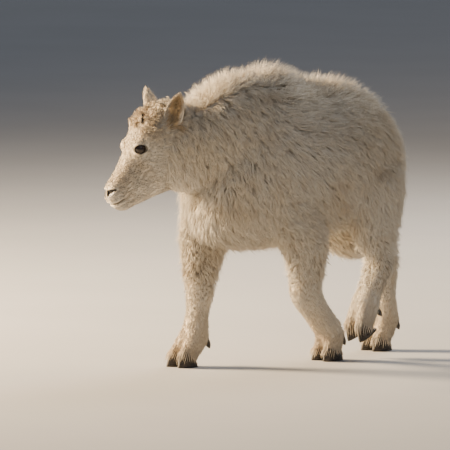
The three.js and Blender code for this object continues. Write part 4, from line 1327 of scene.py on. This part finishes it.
# The dark colour serves both the dark skin of the lids and the painted shade in the nostrils, the mouth's
# crease and the ear hollows
coatColours = {
    "cream": (0.86, 0.78, 0.64), "pale": (0.92, 0.88, 0.79), "golden": (0.62, 0.4, 0.17),
    "earth": (0.45, 0.33, 0.2), "root": (0.66, 0.52, 0.35), "dark": (0.018, 0.014, 0.012),
}


def coatColour(paint):
    # The same markings for the skin and for the tufts that grow from it.
    broad = paint.noise(7, 2)
    patchy = paint.noise(22, 3)
    smudge = paint.ramp(paint.noise(9, 4, stretch=(1, 1, 1.4)), 0.58, 0.72, 0, 0.35)
    base = paint.colour(paint.ramp(broad, 0.35, 0.68), coatColours["cream"], coatColours["pale"])
    base = paint.colour(paint.ramp(patchy, 0.5, 0.75, 0, 0.35), base, coatColours["root"])
    base = paint.colour(smudge, base, coatColours["earth"])
    return paint.colour(paint.value("golden"), base, coatColours["golden"])


def woolMaterial():
    paint = Paint("wool", Roughness=0.82, Sheen_Weight=0.25, Sheen_Roughness=0.4, Specular_IOR_Level=0.25)
    shade = paint.value("shade")
    share = paint.value("share")
    colour = paint.colour(paint.ramp(share, 0.0, 0.75, 0.45, 0.0), coatColour(paint), coatColours["root"])
    colour = paint.colour(paint.ramp(shade, 0.0, 1.0, 0.3, 0.0), colour, coatColours["root"])
    # Darkened by the dark values: the lids' dark skin and the painted shade of the ear hollows, the nostrils
    # and the mouth's crease
    colour = paint.colour(paint.value("dark") * 0.9, colour, coatColours["dark"])
    strand = paint.add("ShaderNodeUVMap", {"uv_map": "strand"})
    lines = paint.noise(6, 2, paint.add("ShaderNodeMapping", None, {"Vector": strand, "Scale": (3, 0.5, 1)}))
    return paint.finish(Base_Color=colour, Normal=paint.bump(lines, 0.5, 0.0006))


def skinMaterial():
    paint = Paint("short fur", Roughness=0.8, Specular_IOR_Level=0.25, Sheen_Weight=0.2, Sheen_Roughness=0.4)
    dark = paint.value("dark")
    colour = paint.colour(0.2, coatColour(paint), coatColours["root"])
    # Darkened by the dark values: the lids' dark skin and the painted shade of the nostrils, the mouth's
    # crease and the ear hollows
    colour = paint.colour(dark, colour, coatColours["dark"])
    hairs = paint.noise(420, 3, stretch=(1, 1, 0.35))
    wet = paint.ramp(dark, 0.5, 1.0, 0.8, 0.35)
    return paint.finish(Base_Color=colour, Roughness=wet, Normal=paint.bump(hairs, 0.3, 0.0008))


eyeColours = {
    "iris": (0.02, 0.009, 0.004), "streak": (0.075, 0.03, 0.01), "pupil": (0.004, 0.003, 0.003),
    "edge": (0.012, 0.007, 0.005),
}


def eyeMaterial():
    # The pupil lies level, in a dark brown iris with a darker edge.
    paint = Paint("eye", Coat_Weight=0.6, Coat_Roughness=0.02, Specular_IOR_Level=0.3)
    gaze = paint.add("ShaderNodeUVMap", {"uv_map": "gaze"})
    x, y = (paint.add("ShaderNodeSeparateXYZ", None, {0: gaze}, k) - 0.5 for k in (0, 1))
    far = paint.add("ShaderNodeMath", {"operation": "SQRT"}, {0: x * x + y * y})
    pupil = paint.ramp((x * x) * 30 + (y * y) * 260, 0.8, 1.1)
    streak = paint.noise(60, 3)
    iris = paint.colour(paint.ramp(streak, 0.3, 0.7), eyeColours["iris"], eyeColours["streak"])
    iris = paint.colour(pupil, eyeColours["pupil"], iris)
    colour = paint.colour(paint.ramp(far, 0.33, 0.38), iris, eyeColours["edge"])
    return paint.finish(Base_Color=colour, Roughness=0.12)


hornColours = {  # dark, light and how fine the bands are
    "horn": ((0.012, 0.01, 0.009), (0.06, 0.048, 0.038), 170),
    "hoof": ((0.02, 0.017, 0.015), (0.085, 0.072, 0.06), 120),
    "dust": (0.19, 0.15, 0.11),
}


def hornMaterial(name):
    dark, light, scale = hornColours[name]
    paint = Paint(name, Specular_IOR_Level=0.4)
    bands = paint.noise(scale, 4, stretch=(1, 1, 3.4))
    fine = paint.noise(900, 3, stretch=(1, 1, 0.2))
    worn = paint.noise(60, 4)
    colour = paint.colour(paint.ramp(bands, 0.35, 0.7), dark, light)
    colour = paint.colour(paint.ramp(worn, 0.5, 0.75, 0, 0.55), colour, hornColours["dust"])
    rough = paint.ramp(bands, 0.3, 0.7, 0.42, 0.68)
    height = bands * 0.7 + fine * 0.3
    return paint.finish(Base_Color=colour, Roughness=rough, Normal=paint.bump(height, 0.45, 0.0012))


woolLook, skinLook, eyeLook = woolMaterial(), skinMaterial(), eyeMaterial()
hornLook, hoofLook = hornMaterial("horn"), hornMaterial("hoof")


def dress(made, look):
    made.data.materials.clear()
    made.data.materials.append(look)
    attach(made, "root")


hardParts = ("eye_", "horn_", "hoof", "dewclaw")
flesh = [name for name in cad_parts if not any(word in name for word in hardParts)]
headNodes = [name for name in flesh if name == "head" or name.startswith("ear_")]
for one in coats:
    dress(one, woolLook)
for one in (skinBody, skinHead):
    dress(one, skinLook)
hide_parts(*headNodes)
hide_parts(*[name for name in flesh if name not in headNodes])
for label in sides:
    dress(eyeballs[label], eyeLook)
    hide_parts(f"eye_{label}")
    dress(horns[label], hornLook)
    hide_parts(f"horn_{label}")
for group in (hooves, claws):
    for name, one in group.items():
        dress(one, hoofLook)
        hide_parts(name)
print("materials done")

# Floor and lights
floorSet = {"radius": 60, "dark": (0.44, 0.45, 0.47), "pale": (0.4576, 0.468, 0.4888)}  # radius in metres


def makeFloor():
    bm = bmesh.new()
    bmesh.ops.create_circle(bm, cap_ends=True, segments=96, radius=floorSet["radius"])
    made = meshObject("floor", bm)
    paint = Paint("floor", Roughness=0.9)
    colour = paint.colour(paint.ramp(paint.noise(3, 4), 0.3, 0.7), floorSet["dark"], floorSet["pale"])
    made.data.materials.append(paint.finish(Base_Color=colour))


# Each light's place as seen by the camera: right, towards it and up, in metres from the kid's middle
lightSet = {
    "low warm light": {"place": (-2.7, -1.0, 1.2), "size": 0.9, "power": 640, "colour": (1.0, 0.73, 0.43)},
    "soft front light": {"place": (0.9, 3.2, 2.2), "size": 2.6, "power": 9, "colour": (0.9, 0.95, 1.0)},
    "soft back light": {"place": (1.2, -2.6, 2.2), "size": 1.6, "power": 70, "colour": (1.0, 0.95, 0.88)},
}
worldSet = {"colour": (0.68, 0.72, 0.79, 1), "strength": 0.3}


def makeLight(name, settings):
    lamp = bpy.data.objects.new(name, bpy.data.lights.new(name, "AREA"))
    lamp.data.size = settings["size"]
    lamp.data.energy = settings["power"]
    lamp.data.color = settings["colour"]
    rightward, toward, up = settings["place"]
    level = np.array([math.sin(turn), -math.cos(turn), 0])
    lamp.location = Vector(right * rightward + level * toward + np.array([0, 0, 1]) * up)
    lamp.rotation_mode = "QUATERNION"
    lamp.rotation_quaternion = (Vector((0, 0, 0.3)) - lamp.location).to_track_quat("-Z", "Y")
    bpy.context.scene.collection.objects.link(lamp)


makeFloor()
for name, settings in lightSet.items():
    makeLight(name, settings)
world = bpy.data.worlds.new("studio")
world.use_nodes = True
world.node_tree.nodes["Background"].inputs["Color"].default_value = worldSet["colour"]
world.node_tree.nodes["Background"].inputs["Strength"].default_value = worldSet["strength"]
bpy.context.scene.world = world
print("floor and lights done")
